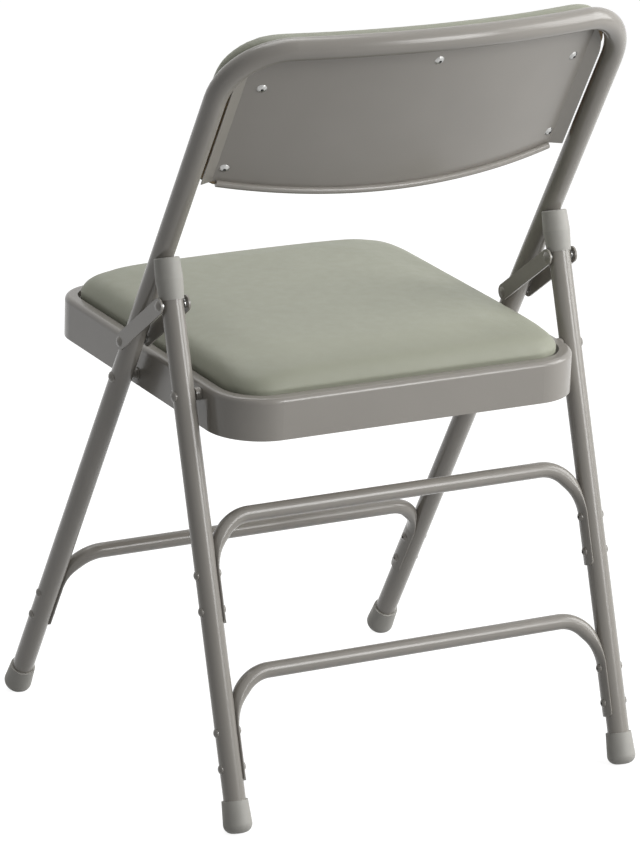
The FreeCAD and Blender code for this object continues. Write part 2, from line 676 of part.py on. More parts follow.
def make_brace(node, frame, bar, end, radius, stations):
    start, outward = brace_bend(bar, radius, SQUEEZE_TURN, 1)
    heading = outward.cross(Vector(0, 1, 0))
    path = brace_path(bar, radius)
    tube = swept_tube(node, path, "$brace_diameter / 2", "$brace_diameter / 2 - $brace_wall", start, frame,
                      Rotation(Vector(0, 0, 1), heading))
    legs = [cylinder("%s_leg_%s" % (node, side), "$leg_diameter / 2 + $tab_fit", "$crossing_station", frame,
                     Vector(sign * HALF_SPACING, 0, 0)) for side, sign in SIDES]
    ends = [shape("%s_end_%s" % (node, side), brace_end(bar, end, radius, sign), frame) for side, sign in SIDES]
    holes = cross_holes(node + "_holes", "$rivet_diameter / 2", frame, stations)
    tools = fuse(node + "_tools", legs + [holes])
    keep(node, cut(node + "_drilled", fuse(node + "_whole", [tube] + ends), tools))


def make_brace_rivets(node, frame, stations):
    """Semi-tubular rivets through a leg and a brace's tab, domed outside and clinched inside."""
    rivets = []
    outside = HALF_SPACING + LEG_RADIUS
    tab_radius = LEG_RADIUS + size("tab_thickness")
    tab_seat = tab_radius + size("head_lift") / 2
    inside = HALF_SPACING - tab_radius
    head = ("rivet_head_diameter", "rivet_head_height")
    for side, sign in SIDES:
        for number, station in enumerate(stations):
            name = "%s_%s_%d" % (node, side, number)
            rivets.append(rivet(name, "rivet_diameter", (head, head), sign * outside, sign * inside,
                                frame, (0, station), True,
                                ((LEG_RADIUS, sign * HALF_SPACING), (tab_seat, sign * HALF_SPACING))))
    keep(node, group(node + "_group", rivets))


def make_seat_pivots():
    """Rivets that carry the seat at the front frame, and the spacers between tube and seat frame."""
    head = ("pivot_head_diameter", "pivot_head_height")
    outside = HALF_SPACING + LEG_RADIUS
    tube_inside = HALF_SPACING - LEG_RADIUS
    seat_inside = SEAT_HALF_WIDTH - size("seat_frame_wall")
    station = SEAT_FRONT_STATION
    rivets, spacers = [], []
    for side, sign in SIDES:
        rivets.append(rivet("front_pivot_%s" % side, "pivot_diameter", (head, head), sign * outside,
                            sign * seat_inside, FRONT_FRAME, (0, station),
                            seats=((LEG_RADIUS, sign * HALF_SPACING), None)))
        wide = SEAT_HALF_WIDTH + size("pivot_end_gap")
        neck = LINK_INNER_FACE - size("seat_clearance")
        low, high = (wide, tube_inside) if sign > 0 else (-tube_inside, -wide)
        thin = doc.addObject("Part::Cylinder", "front_spacer_neck_%s" % side)
        bind(thin, "Radius", "$spacer_neck_diameter / 2")
        thin.Height = high - low
        place(thin, FRONT_FRAME, Vector(low, 0, station), ALONG_X)
        low, high = (wide, neck) if sign > 0 else (-neck, -wide)
        thick = doc.addObject("Part::Cylinder", "front_spacer_flange_%s" % side)
        bind(thick, "Radius", "$spacer_diameter / 2")
        thick.Height = high - low
        place(thick, FRONT_FRAME, Vector(low, 0, station), ALONG_X)
        solid = fuse("front_spacer_solid_%s" % side, [thin, thick])
        hole = cylinder("front_spacer_hole_%s" % side, "$pivot_diameter / 2", "$leg_diameter * 2", FRONT_FRAME,
                        Vector(sign * tube_inside - size("leg_diameter"), 0, station), ALONG_X)
        spacers.append(cut("front_spacer_%s" % side, solid, hole))
    keep("front_pivot_rivets", group("front_pivot_group", rivets))
    keep("front_pivot_spacers", group("front_spacer_group", spacers))


# --- back --------------------------------------------------------------------------------------

def panel_half_width():
    return HALF_SPACING - LEG_RADIUS - size("back_side_gap")


def panel_profile(thickness, in_front):
    """Section of the back panel in plan: bowed middle, and side margins that turn to the rear."""
    edge_x = panel_half_width()
    bend_x = edge_x - size("back_margin_width")
    recess = PANEL_RECESS + in_front
    bend_back = bowed(bend_x, recess)
    edge_back = bend_back + size("back_margin_rise")
    slant = Vector(size("back_margin_width"), size("back_margin_rise"), 0).normalize()
    inward = Vector(slant.y, -slant.x, 0) * thickness
    outer = [Vector(-edge_x, edge_back, 0), Vector(-bend_x, bend_back, 0), Vector(0, bowed(0, recess), 0),
             Vector(bend_x, bend_back, 0), Vector(edge_x, edge_back, 0)]
    lower_bend = Vector(bend_x, bend_back - thickness, 0)
    lower_edge = Vector(edge_x, edge_back, 0) + Vector(inward.x, inward.y, 0)
    mirrored_bend = Vector(-lower_bend.x, lower_bend.y, 0)
    mirrored_edge = Vector(-lower_edge.x, lower_edge.y, 0)
    lower_middle = Vector(0, bowed(0, recess + thickness), 0)
    edges = [line(outer[0], outer[1]), Part.Arc(outer[1], outer[2], outer[3]).toShape(), line(outer[3], outer[4]),
             line(outer[4], lower_edge), line(lower_edge, lower_bend),
             Part.Arc(lower_bend, lower_middle, mirrored_bend).toShape(), line(mirrored_bend, mirrored_edge),
             line(mirrored_edge, outer[0])]
    return Part.Wire(edges)


def crowned_corners(half, above, radius):
    """Upper corners and top of an outline, in the frame's plane, from the right side to the left one.

    The top follows the bowed tube's axis, above it by the given length. Gives the edges and the
    station where the straight sides end.
    """
    slope = math.atan(LEVEL_REAR.z * (half - radius) / math.sqrt(LEVEL_RADIUS ** 2 - (half - radius) ** 2))
    end_x = half - radius + radius * math.sin(slope)
    end_z = top_station(end_x) + above
    centre_z = end_z - radius * math.cos(slope)
    across, up = Vector(1, 0, 0), Vector(0, 0, 1)
    right, left = Vector(half - radius, 0, centre_z), Vector(radius - half, 0, centre_z)
    crest = Vector(0, 0, TOP_CREST.z + above)
    edges = [arc_through(right, radius, 0, math.pi / 2 - slope, across, up),
             Part.Arc(Vector(end_x, 0, end_z), crest, Vector(-end_x, 0, end_z)).toShape(),
             arc_through(left, radius, math.pi / 2 + slope, math.pi, across, up)]
    return edges, centre_z


def panel_outline():
    """Outline of the back panel in the frame's plane: round upper corners, sagging lower edge."""
    x = panel_half_width()
    radius = size("back_corner_radius") - LEG_RADIUS - size("back_side_gap")
    side, middle = size("back_side_station"), size("back_middle_station")
    edges, corner = crowned_corners(x, -LEG_RADIUS, radius)
    edges.append(line(Vector(-x, 0, corner), Vector(-x, 0, side)))
    edges.append(Part.Arc(Vector(-x, 0, side), Vector(0, 0, middle), Vector(x, 0, side)).toShape())
    edges.append(line(Vector(x, 0, side), Vector(x, 0, corner)))
    return Part.Wire(edges)


def sag_station(x):
    """Station of the panel's lower edge at x, an arc through its sides and middle."""
    half, side, middle = panel_half_width(), size("back_side_station"), size("back_middle_station")
    sag = side - middle
    radius = (half ** 2 + sag ** 2) / (2 * sag)
    return middle + radius - math.sqrt(radius ** 2 - x * x)


def back_hole_places():
    upper, lower = size("back_rivet_upper_side"), size("back_rivet_lower_side")
    top, bottom = size("back_rivet_top"), size("back_rivet_bottom")
    return ((lower, bottom), (upper, top), (0, size("back_rivet_crest")), (-upper, top), (-lower, bottom))


def square_to_back(x):
    """Turns the Z direction to the rear, square to the bowed back at x."""
    slope = math.degrees(math.asin(x / TOP_RADIUS))
    return Rotation(Vector(0, 0, 1), -slope).multiply(Rotation(Vector(1, 0, 0), -90))


def back_place(x, in_front, station):
    """Point of the bowed surface in_front of the top tube's axis, square from the axis at x."""
    slope = math.asin(x / TOP_RADIUS)
    radius = TOP_RADIUS - in_front
    return Vector(radius * math.sin(slope), TOP_CENTRE_BACK + radius * math.cos(slope), station)


def back_holes(name, radius, in_front):
    """Holes from front to rear through a bowed sheet or board whose rear face is in_front of the axis."""
    tools = []
    for number, (x, station) in enumerate(back_hole_places()):
        start = back_place(x, in_front + size("back_board_thickness") * 2, station)
        tools.append(cylinder("%s_%d" % (name, number), radius, "$back_board_thickness * 4", FRONT_FRAME, start,
                              square_to_back(x)))
    return fuse(name, tools)


def make_back_panel():
    thickness = size("back_sheet")
    blank = Part.Face(panel_profile(thickness, 0)).extrude(Vector(0, 0, size("back_top_station")))
    depth = Vector(0, 4 * size("back_corner_radius"), 0)
    outline = Part.Face(panel_outline()).extrude(depth)
    outline.translate(depth * -0.5)
    sheet = blank.common(outline)
    half = panel_half_width() - size("back_margin_width") - size("back_lip_inset")
    lip_radius = size("back_lip_diameter") / 2
    points = []
    steps = 12
    for i in range(steps + 1):
        x = -half + 2 * half * i / steps
        points.append(Vector(x, bowed(x, LEG_RADIUS - lip_radius), sag_station(x)))
    curve = Part.BSplineCurve()
    curve.interpolate(points)
    spine = Part.Wire([curve.toShape()])
    start = spine.Edges[0]
    ring = Part.Wire([Part.makeCircle(lip_radius, points[0], start.tangentAt(start.FirstParameter))])
    lip = spine.makePipeShell([ring], True, False)
    panel = shape("back_panel_sheet", sheet.fuse(lip).removeSplitter(), FRONT_FRAME)
    holes = back_holes("back_panel_holes", "$rivet_diameter / 2", PANEL_RECESS)
    keep("backrest_panel", cut("back_panel_drilled", panel, holes))


def pad_outline(inset):
    """Outline of the back pad in the frame's plane."""
    x = size("back_pad_half_width") - inset
    bottom = size("back_pad_bottom") + inset
    radius = size("back_pad_radius") - inset
    lower = radius / 2
    across, up = Vector(1, 0, 0), Vector(0, 0, 1)
    quarter = math.pi / 2
    edges, corner = crowned_corners(x, -size("back_pad_drop") - inset, radius)
    edges += [line(Vector(-x, 0, corner), Vector(-x, 0, bottom + lower)),
              arc_through(Vector(lower - x, 0, bottom + lower), lower, 2 * quarter, 3 * quarter, across, up),
              line(Vector(lower - x, 0, bottom), Vector(x - lower, 0, bottom)),
              arc_through(Vector(x - lower, 0, bottom + lower), lower, 3 * quarter, 4 * quarter, across, up),
              line(Vector(x, 0, bottom + lower), Vector(x, 0, corner))]
    return Part.Wire(edges)


def bowed_slab(inset, in_front, thickness):
    """Slab with the pad's outline that follows the bow of the top tube."""
    half = size("leg_spacing")
    tall = 2 * size("back_top_station")
    rear_radius = TOP_RADIUS - in_front
    centre = Vector(0, TOP_CENTRE_BACK, 0)
    up = Vector(0, 0, 1)
    band = Part.makeCylinder(rear_radius, tall, centre, up).cut(
        Part.makeCylinder(rear_radius - thickness, tall, centre, up))
    outline = Part.Face(pad_outline(inset))
    reach = 3 * size("back_corner_radius")
    outline.translate(Vector(0, -reach, 0))
    block = outline.extrude(Vector(0, reach + half, 0))
    return band.common(block)


def make_back_pad():
    """Plywood board behind the panel's front, and the foam and cover that go round the board's edge."""
    thickness, wrap = size("back_board_thickness"), size("cover_wrap")
    board = shape("back_board_blank", bowed_slab(wrap, BOARD_FRONT, thickness), FRONT_FRAME)
    holes = back_holes("back_board_holes", "$rivet_diameter / 2", BOARD_FRONT)
    keep("backrest_board", cut("back_board_drilled", board, holes))
    depth = thickness + size("back_foam_thickness")
    foam = bowed_slab(0, BOARD_FRONT, depth)
    slack = size("back_foam_round") / 10

    def on_front_face(point):
        radial = math.hypot(point.x, point.y - TOP_CENTRE_BACK)
        return abs(radial - (TOP_RADIUS - BOARD_FRONT - depth)) < slack

    foam = round_edges(foam, size("back_foam_round"), on_front_face)
    pocket = bowed_slab(wrap - size("pad_gap"), 0, BOARD_FRONT + thickness + size("pad_gap"))
    keep("backrest_cushion", shape("back_foam", foam.cut(pocket), FRONT_FRAME))


def make_back_rivets():
    """Plated semi-tubular rivets through the panel into the board, domed over the panel."""
    rivets = []
    for number, (x, station) in enumerate(back_hole_places()):
        name = "back_rivet_%d" % number
        turn = square_to_back(x)
        inner = BOARD_FRONT + size("back_board_thickness")
        stem = doc.addObject("Part::Cylinder", name + "_shank")
        bind(stem, "Radius", "$rivet_diameter / 2")
        stem.Height = inner - PANEL_RECESS
        place(stem, FRONT_FRAME, back_place(x, inner, station), turn)
        face = back_place(x, PANEL_RECESS, station)
        head = dome(name + "_head", "back_rivet_head", "rivet_head_height", FRONT_FRAME, face, turn)
        hole = cylinder(name + "_hole", "$rivet_hollow / 2", "$rivet_head_height * 2", FRONT_FRAME, face, turn)
        rivets.append(cut(name, fuse(name + "_solid", [stem, head]), hole))
    keep("backrest_rivets", group("back_rivet_group", rivets))


# --- fold links --------------------------------------------------------------------------------

LINK_LENGTH = (LINK_REAR - LINK_FRONT).Length
LINK_ANGLE = math.degrees(math.atan2(LINK_REAR.z - LINK_FRONT.z, LINK_REAR.y - LINK_FRONT.y))


def link_frame(sign, face):
    """Frame of a link plate: its X runs from the front pivot to the rear one, its Z across the chair."""
    lengthwise = Rotation(Vector(1, 0, 0), LINK_ANGLE)
    upright = Rotation(Vector(0, 1, 0), Vector(0, 0, 1), Vector(1, 0, 0), "XYZ")
    start = Vector(sign * face, LINK_FRONT.y, LINK_FRONT.z)
    return Placement(start, lengthwise.multiply(upright))


def make_link(node, sign, near):
    """Flat plate with round ends and two rivet holes; near is the face towards the middle."""
    radius = size("link_width") / 2
    body = doc.addObject("PartDesign::Body", node + "_body")
    sketch = sketch_in(body, node + "_outline", "XY_Plane")
    length = LINK_LENGTH
    normal = Vector(0, 0, 1)
    ends = ((Vector(0, 0, 0), math.pi / 2, 3 * math.pi / 2), (Vector(length, 0, 0), -math.pi / 2, math.pi / 2))
    for centre, start, end in ends:
        sketch.addGeometry(Part.ArcOfCircle(Part.Circle(centre, normal, radius), start, end), False)
    sketch.addGeometry(Part.LineSegment(Vector(0, -radius, 0), Vector(length, -radius, 0)), False)
    sketch.addGeometry(Part.LineSegment(Vector(length, radius, 0), Vector(0, radius, 0)), False)
    for first, first_end, second, second_end in ((0, 2, 2, 1), (2, 2, 1, 1), (1, 2, 3, 1), (3, 2, 0, 1)):
        sketch.addConstraint(Sketcher.Constraint("Coincident", first, first_end, second, second_end))
    for centre, start, end in ends:
        sketch.addGeometry(Part.Circle(centre, normal, size("pivot_diameter") / 2), False)
    plate = body.newObject("PartDesign::Pad", node + "_plate")
    plate.Profile = sketch
    bind(plate, "Length", "$link_thickness")
    body.Placement = link_frame(sign, near if sign > 0 else near + size("link_thickness"))
    keep(node, body)


def make_link_washers(node, sign):
    """Washers on both pivots, between the tubes and the two plates of a side."""
    washers = []
    thickness = size("link_offset") - size("washer_gap")
    for number, point in enumerate((LINK_FRONT, LINK_REAR)):
        for face, low in (("inner", LINK_INNER), ("outer", LINK_OUTER - thickness)):
            start = low if sign > 0 else -low - thickness
            base = Vector(start, point.y, point.z)
            name = "%s_%s_%d" % (node, face, number)
            ring = cylinder(name + "_ring", "$washer_diameter / 2", "$link_offset - $washer_gap",
                            Placement(), base, ALONG_X)
            hole = cylinder(name + "_hole", "$pivot_diameter / 2", "$leg_diameter", Placement(),
                            base - Vector(LEG_RADIUS, 0, 0), ALONG_X)
            washers.append(cut(name, ring, hole))
    keep(node, group(node + "_group", washers))


def make_link_rivets(node, sign):
    domed = ("pivot_head_diameter", "pivot_head_height")
    flat = ("pivot_head_diameter", "pivot_flat_height")
    outside = LINK_OUTER + size("link_thickness")
    inside = LINK_INNER_FACE
    rivets = []
    for number, point in enumerate((LINK_FRONT, LINK_REAR)):
        name = "%s_%d" % (node, number)
        rivets.append(rivet(name, "pivot_diameter", (domed, flat), sign * outside, sign * inside, Placement(),
                            (point.y, point.z)))
    keep(node, group(node + "_group", rivets))


# --- rear legs ---------------------------------------------------------------------------------

def make_rear_leg(node, sign):
    bottom = foot_end_station(size("rear_lean")) + size("foot_floor")
    base = Vector(sign * HALF_SPACING, 0, bottom)
    outer = doc.addObject("Part::Cylinder", node + "_outside")
    bind(outer, "Radius", "$leg_diameter / 2")
    outer.Height = REAR_TUBE_TOP - bottom
    place(outer, REAR_FRAME, base)
    bore = doc.addObject("Part::Cylinder", node + "_bore")
    bind(bore, "Radius", "$leg_diameter / 2 - $leg_wall")
    bore.Height = REAR_TUBE_TOP - bottom
    place(bore, REAR_FRAME, base)
    tube = cut(node + "_tube", outer, bore)
    tools = []
    for number, station in enumerate([LINK_REAR_STATION, SEAT_REAR_STATION] + rear_rivet_stations()):
        radius = "$rivet_diameter / 2"
        if number == 0:
            radius = "$pivot_diameter / 2 + $running_clearance"
        if number == 1:
            radius = "$pivot_diameter / 2"
        start = Vector(sign * HALF_SPACING - size("leg_diameter"), 0, station)
        tools.append(cylinder("%s_hole_%d" % (node, number), radius, "$leg_diameter * 2", REAR_FRAME, start, ALONG_X))
    keep(node, cut(node + "_drilled", tube, fuse(node + "_holes", tools)))


def make_leg_cap(node, sign):
    """Moulded cap turned about a rear leg's top, hollowed to rest against the front tube when open."""
    rim, belly, crown = [LEG_RADIUS + size(name) for name in ("cap_wall", "cap_belly", "cap_crown")]
    bore = LEG_RADIUS + size("socket_fit")
    body = doc.addObject("PartDesign::Body", node + "_body")
    sketch = sketch_in(body, node + "_profile", "XZ_Plane")
    draw_profile(sketch, [(bore, CAP_BOTTOM), (rim, CAP_BOTTOM), (belly, CAP_BOTTOM + size("cap_belly_height")),
                          (crown, CAP_TOP), (0, CAP_TOP), (0, REAR_TUBE_TOP), (bore, REAR_TUBE_TOP)])
    turned = body.newObject("PartDesign::Revolution", node + "_turned")
    turned.Profile = sketch
    turned.ReferenceAxis = (sketch, ["V_Axis"])
    turned.Angle = 360
    doc.recompute()
    top_edges = ["Edge%d" % (number + 1) for number, edge in enumerate(turned.Shape.Edges)
                 if edge.BoundBox.ZMin > CAP_TOP - 0.01]
    rounded = body.newObject("PartDesign::Fillet", node + "_rounded")
    rounded.Base = (turned, top_edges)
    bind(rounded, "Radius", "$cap_edge_round")
    body.Placement = REAR_FRAME.multiply(Placement(Vector(sign * HALF_SPACING, 0, 0), Rotation()))
    saddle = cylinder(node + "_saddle", "$leg_diameter / 2 + $stop_gap", "$back_top_station", FRONT_FRAME,
                      Vector(sign * HALF_SPACING, 0, 0))
    keep(node, cut(node + "_shaped", body, saddle))


def make_rear_pivots():
    """Rivets fixed in the rear legs, with spacers that reach to the seat frame."""
    outside = HALF_SPACING + LEG_RADIUS
    tube_inside = HALF_SPACING - LEG_RADIUS
    inner_end = SEAT_HALF_WIDTH + size("pivot_end_gap")
    at = (0, SEAT_REAR_STATION)
    head = ("pivot_head_diameter", "pivot_head_height")
    rivets, spacers = [], []
    for side, sign in SIDES:
        rivets.append(rivet("rear_pivot_%s" % side, "pivot_diameter", (head, None), sign * outside,
                            sign * inner_end, REAR_FRAME, at,
                            seats=((LEG_RADIUS, sign * HALF_SPACING), None)))
        low = min(sign * inner_end, sign * tube_inside)
        ring = doc.addObject("Part::Cylinder", "rear_spacer_ring_%s" % side)
        bind(ring, "Radius", "$spacer_diameter / 2")
        ring.Height = tube_inside - inner_end
        place(ring, REAR_FRAME, Vector(low, at[0], at[1]), ALONG_X)
        hole = cylinder("rear_spacer_hole_%s" % side, "$pivot_diameter / 2", "$leg_diameter * 2", REAR_FRAME,
                        Vector(low - LEG_RADIUS, at[0], at[1]), ALONG_X)
        spacers.append(cut("rear_spacer_%s" % side, ring, hole))
    keep("rear_pivot_rivets", group("rear_pivot_group", rivets))
    keep("rear_pivot_spacers", group("rear_spacer_group", spacers))


# --- seat --------------------------------------------------------------------------------------

def seat_plan(inset, height):
    """Outline of the seat in plan, drawn in from the frame's outside, at a height above its edge."""
    front, rear = -size("seat_front_reach") + inset, SEAT_REAR_REACH - inset
    front_radius, rear_radius = size("seat_front_radius") - inset, size("seat_rear_radius") - inset
    return rounded_rectangle(SEAT_HALF_WIDTH - inset, front, rear, front_radius, rear_radius,
                             SEAT_BOTTOM + height)


def seat_frame_blank():
    """Pressed frame: outer wall, rounded top edge, a recess with a ledge, and a hem turned in below."""
    height, wall = size("seat_frame_height"), size("seat_frame_wall")
    rim, recess = size("seat_rim_width"), size("seat_recess")
    outer = prism(seat_plan(0, 0), height)
    top = SEAT_BOTTOM + height
    outer = round_edges(outer, size("seat_edge_round"), lambda point: point.z > top - 0.01)
    recess_tool = prism(seat_plan(rim, height - recess), recess)
    inside = prism(seat_plan(wall, wall), height - 2 * wall)
    inside = round_edges(inside, size("seat_edge_round") - wall, lambda point: point.z > top - wall - 0.01)
    step = prism(seat_plan(rim - wall, height - recess - wall), recess + wall)
    opening = prism(seat_plan(rim + size("seat_ledge_width"), 0), height)
    under = prism(seat_plan(size("seat_hem_width"), 0), wall)
    return outer.cut(recess_tool).cut(inside.cut(step)).cut(opening).cut(under)


def make_seat_frame():
    blank = shape("seat_frame_blank", seat_frame_blank(), SEAT_FRAME)
    rear = REAR_PIVOT_IN_SEAT
    tools = []
    for side, sign in SIDES:
        base = Vector(sign * SEAT_HALF_WIDTH - size("spacer_diameter"), 0, 0)
        tools.append(cylinder("seat_hole_front_%s" % side, "$pivot_diameter / 2 + $running_clearance",
                              "$spacer_diameter * 2", SEAT_FRAME, base, ALONG_X))
        tools.append(cylinder("seat_hole_rear_%s" % side, "$pivot_diameter / 2", "$spacer_diameter * 2",
                              SEAT_FRAME, base + Vector(0, rear.y, rear.z), ALONG_X))
    for number, (x, y) in enumerate(screw_places()):
        tools.append(cylinder("seat_screw_hole_%d" % number, "$screw_diameter / 2", "$seat_frame_height",
                              SEAT_FRAME, Vector(x, y, SEAT_BOTTOM + size("seat_frame_wall") * 2)))
    keep("seat_frame", cut("seat_frame_drilled", blank, fuse("seat_frame_holes", tools)))


def screw_places():
    """Three screws along each side and two across the front and the rear."""
    inset = size("seat_screw_inset")
    x = SEAT_HALF_WIDTH - inset
    front, rear = -size("seat_front_reach") + inset, SEAT_REAR_REACH - inset
    middle = (front + rear) / 2
    reach = (rear - front) / 2 - size("seat_front_radius")
    places = []
    for sign in (1, -1):
        places.extend([(sign * x, middle - reach), (sign * x, middle), (sign * x, middle + reach)])
        places.extend([(sign * reach, front), (sign * reach, rear)])
    return places


def make_seat_cushion():
    """Plywood board on the frame's ledge, and the foam and cover that go round the board's edge."""
    ledge_top = size("seat_frame_height") - size("seat_recess")
    inset = size("seat_rim_width") + size("cushion_gap")
    thickness, wrap, gap = size("seat_board_thickness"), size("cover_wrap"), size("pad_gap")
    board = shape("seat_board_blank", prism(seat_plan(inset + wrap, ledge_top), thickness), SEAT_FRAME)
    tools = []
    for number, (x, y) in enumerate(screw_places()):
        tools.append(cylinder("seat_board_hole_%d" % number, "$screw_diameter / 2", "$screw_length",
                              SEAT_FRAME, Vector(x, y, SEAT_BOTTOM + ledge_top)))
    keep("seat_board", cut("seat_board_drilled", board, fuse("seat_board_holes", tools)))
    foam = prism(seat_plan(inset, ledge_top + gap), thickness + size("seat_foam_height") - gap)
    top = SEAT_BOTTOM + ledge_top + thickness + size("seat_foam_height")
    foam = round_edges(foam, size("seat_foam_round"), lambda point: point.z > top - 0.01)
    pocket = prism(seat_plan(inset + wrap - gap, ledge_top), thickness + gap)
    keep("seat_cushion", shape("seat_foam", foam.cut(pocket), SEAT_FRAME))


def make_seat_screws():
    """Screws from below through the ledge into the board."""
    ledge_top = SEAT_BOTTOM + size("seat_frame_height") - size("seat_recess")
    ledge_under = ledge_top - size("seat_frame_wall")
    screws = []
    for number, (x, y) in enumerate(screw_places()):
        stem = cylinder("seat_screw_shank_%d" % number, "$screw_diameter / 2", "$screw_length + $seat_frame_wall",
                        SEAT_FRAME, Vector(x, y, ledge_under))
        head = dome("seat_screw_head_%d" % number, "screw_head_diameter", "rivet_head_height", SEAT_FRAME,
                    Vector(x, y, ledge_under), Rotation(Vector(1, 0, 0), 180))
        screws.append(fuse("seat_screw_%d" % number, [stem, head]))
    keep("seat_screws", group("seat_screw_group", screws))


def make_rear_pivot_heads():
    """Clinched inner ends of the rear seat pivots, held in the seat frame's wall."""
    rear = REAR_PIVOT_IN_SEAT
    outer = SEAT_HALF_WIDTH
    inner = outer - size("seat_frame_wall")
    heads = []
    for side, sign in SIDES:
        heads.append(rivet("rear_pivot_end_%s" % side, "pivot_diameter",
                           (None, ("pivot_clinch_diameter", "pivot_head_height")), sign * outer, sign * inner,
                           SEAT_FRAME, (rear.y, rear.z)))
    keep("rear_pivot_heads", group("rear_pivot_head_group", heads))


# --- the whole chair ---------------------------------------------------------------------------

make_front_frame()
for side, sign in SIDES:
    make_foot("front_%s_foot" % side, FRONT_FRAME, sign, size("front_lean"))
    make_foot("rear_%s_foot" % side, REAR_FRAME, sign, size("rear_lean"))
    make_link("%s_inner_link" % side, sign, LINK_INNER_FACE)
    make_link("%s_outer_link" % side, sign, LINK_OUTER)
    make_link_washers("%s_link_washers" % side, sign)
    make_link_rivets("%s_link_rivets" % side, sign)
    make_rear_leg("%s_rear_leg" % side, sign)
    make_leg_cap("%s_leg_cap" % side, sign)
make_brace("front_cross_brace", FRONT_FRAME, size("front_brace_bar"), size("front_brace_end"),
           size("front_brace_radius"), front_rivet_stations())
make_brace_rivets("front_brace_rivets", FRONT_FRAME, front_rivet_stations())
for name in ("upper", "lower"):
    make_brace("rear_%s_brace" % name, REAR_FRAME, size(name + "_brace_bar"), size(name + "_brace_end"),
               size("rear_brace_radius"), rear_rivet_stations())
make_brace_rivets("rear_brace_rivets", REAR_FRAME, rear_rivet_stations())
make_seat_pivots()
make_rear_pivots()
make_back_panel()
make_back_pad()
make_back_rivets()
make_seat_frame()
make_seat_cushion()
make_seat_screws()
make_rear_pivot_heads()

doc.recompute()
for obj in doc.Objects:
    if "Invalid" in obj.State or "Error" in obj.State:
        raise RuntimeError("%s did not compute: %s" % (obj.Name, obj.State))
for node, obj in NODES.items():
    if obj.Shape.isNull() or not obj.Shape.isValid():
        raise RuntimeError("%s has no valid shape" % node)

os.makedirs("parts", exist_ok=True)
for node, obj in NODES.items():
    obj.Shape.exportStep(os.path.join("parts", node + ".step"))
print("%d sub-parts written" % len(NODES))
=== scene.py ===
"""Looks of a padded steel folding chair: vinyl pads, painted tubes, moulded caps, and a stage.

Every length is in metres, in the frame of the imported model: +Z up, +Y to the rear, +X to the
sitter's left, with the origin on the floor in the middle of the chair.
"""

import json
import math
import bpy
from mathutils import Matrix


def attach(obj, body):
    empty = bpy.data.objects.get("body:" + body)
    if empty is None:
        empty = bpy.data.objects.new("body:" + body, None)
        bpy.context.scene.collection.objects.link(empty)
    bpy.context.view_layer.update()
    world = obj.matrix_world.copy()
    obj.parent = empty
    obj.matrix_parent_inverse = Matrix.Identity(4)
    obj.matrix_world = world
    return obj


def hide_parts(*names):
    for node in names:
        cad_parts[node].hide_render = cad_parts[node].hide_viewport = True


bl_info = {
    "name": "Folding chair looks",
    "version": (1, 0, 0),
    "blender": (4, 5, 0),
    "location": "3D View > Sidebar > Chair",
    "description": "Vinyl pads, paint, plastic, staples and a stage for a padded folding chair",
    "category": "Object",
}

import bmesh
import bpy
from mathutils import Matrix, Vector

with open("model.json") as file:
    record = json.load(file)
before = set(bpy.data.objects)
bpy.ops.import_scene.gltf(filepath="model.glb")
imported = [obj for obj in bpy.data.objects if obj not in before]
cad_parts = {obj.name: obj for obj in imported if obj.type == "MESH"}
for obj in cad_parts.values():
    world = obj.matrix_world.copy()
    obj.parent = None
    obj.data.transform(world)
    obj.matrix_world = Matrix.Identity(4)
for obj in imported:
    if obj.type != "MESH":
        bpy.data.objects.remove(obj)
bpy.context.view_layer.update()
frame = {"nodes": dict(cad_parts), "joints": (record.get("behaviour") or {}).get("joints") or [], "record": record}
NODES = frame["nodes"]
JOINTS = {joint["name"]: joint for joint in frame["joints"]}
MOUNTS = {mount["name"]: mount for mount in frame["record"]["mounts"]}

# Rounding in plan of the seat frame's and the seat cushion's corners.
FRAME_FRONT_CORNER, FRAME_REAR_CORNER = 0.046, 0.055
CUSHION_FRONT_CORNER, CUSHION_REAR_CORNER = 0.0322, 0.0412
COVER_GAP = 0.00005   # between the seat board and the cover turned under it
WELD = 1e-5           # points of one solid that are closer than this are the same


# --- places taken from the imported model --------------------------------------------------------

def middle_point(joint):
    """A hinge's centre, moved to the chair's middle plane."""
    _, y, z = JOINTS[joint]["pos_m"]
    return Vector((0, y, z))


SEAT_PIVOT = middle_point("seat_swing")
LINK_PIVOT = middle_point("left_link_swing")


def basis(origin, up):
    """Matrix whose X is the chair's left, Z is up and Y is the rear side of that plane."""
    across = Vector((1, 0, 0))
    up = Vector(up).normalized()
    rear = up.cross(across)
    turned = Matrix((across, rear, up)).transposed().to_4x4()
    return Matrix.Translation(origin) @ turned


BACK_BASIS = basis(SEAT_PIVOT, LINK_PIVOT - SEAT_PIVOT)
SEAT_BASIS = basis(SEAT_PIVOT, MOUNTS["seat_top"]["axis"])

PAINTED = [name for name in NODES if name.endswith(("_tube", "_brace", "_rear_leg", "_link"))]
PAINTED += ["seat_frame", "backrest_panel", "front_brace_rivets", "rear_brace_rivets",
            "front_pivot_rivets", "rear_pivot_rivets", "rear_pivot_heads", "left_link_rivets",
            "right_link_rivets", "front_pivot_spacers", "rear_pivot_spacers"]
MOULDED = [name for name in NODES if name.endswith(("_foot", "_cap"))]
PLATED = ["backrest_rivets", "seat_screws", "left_link_washers", "right_link_washers"]
WOODEN = ["seat_board", "backrest_board"]


# --- materials ---------------------------------------------------------------------------------

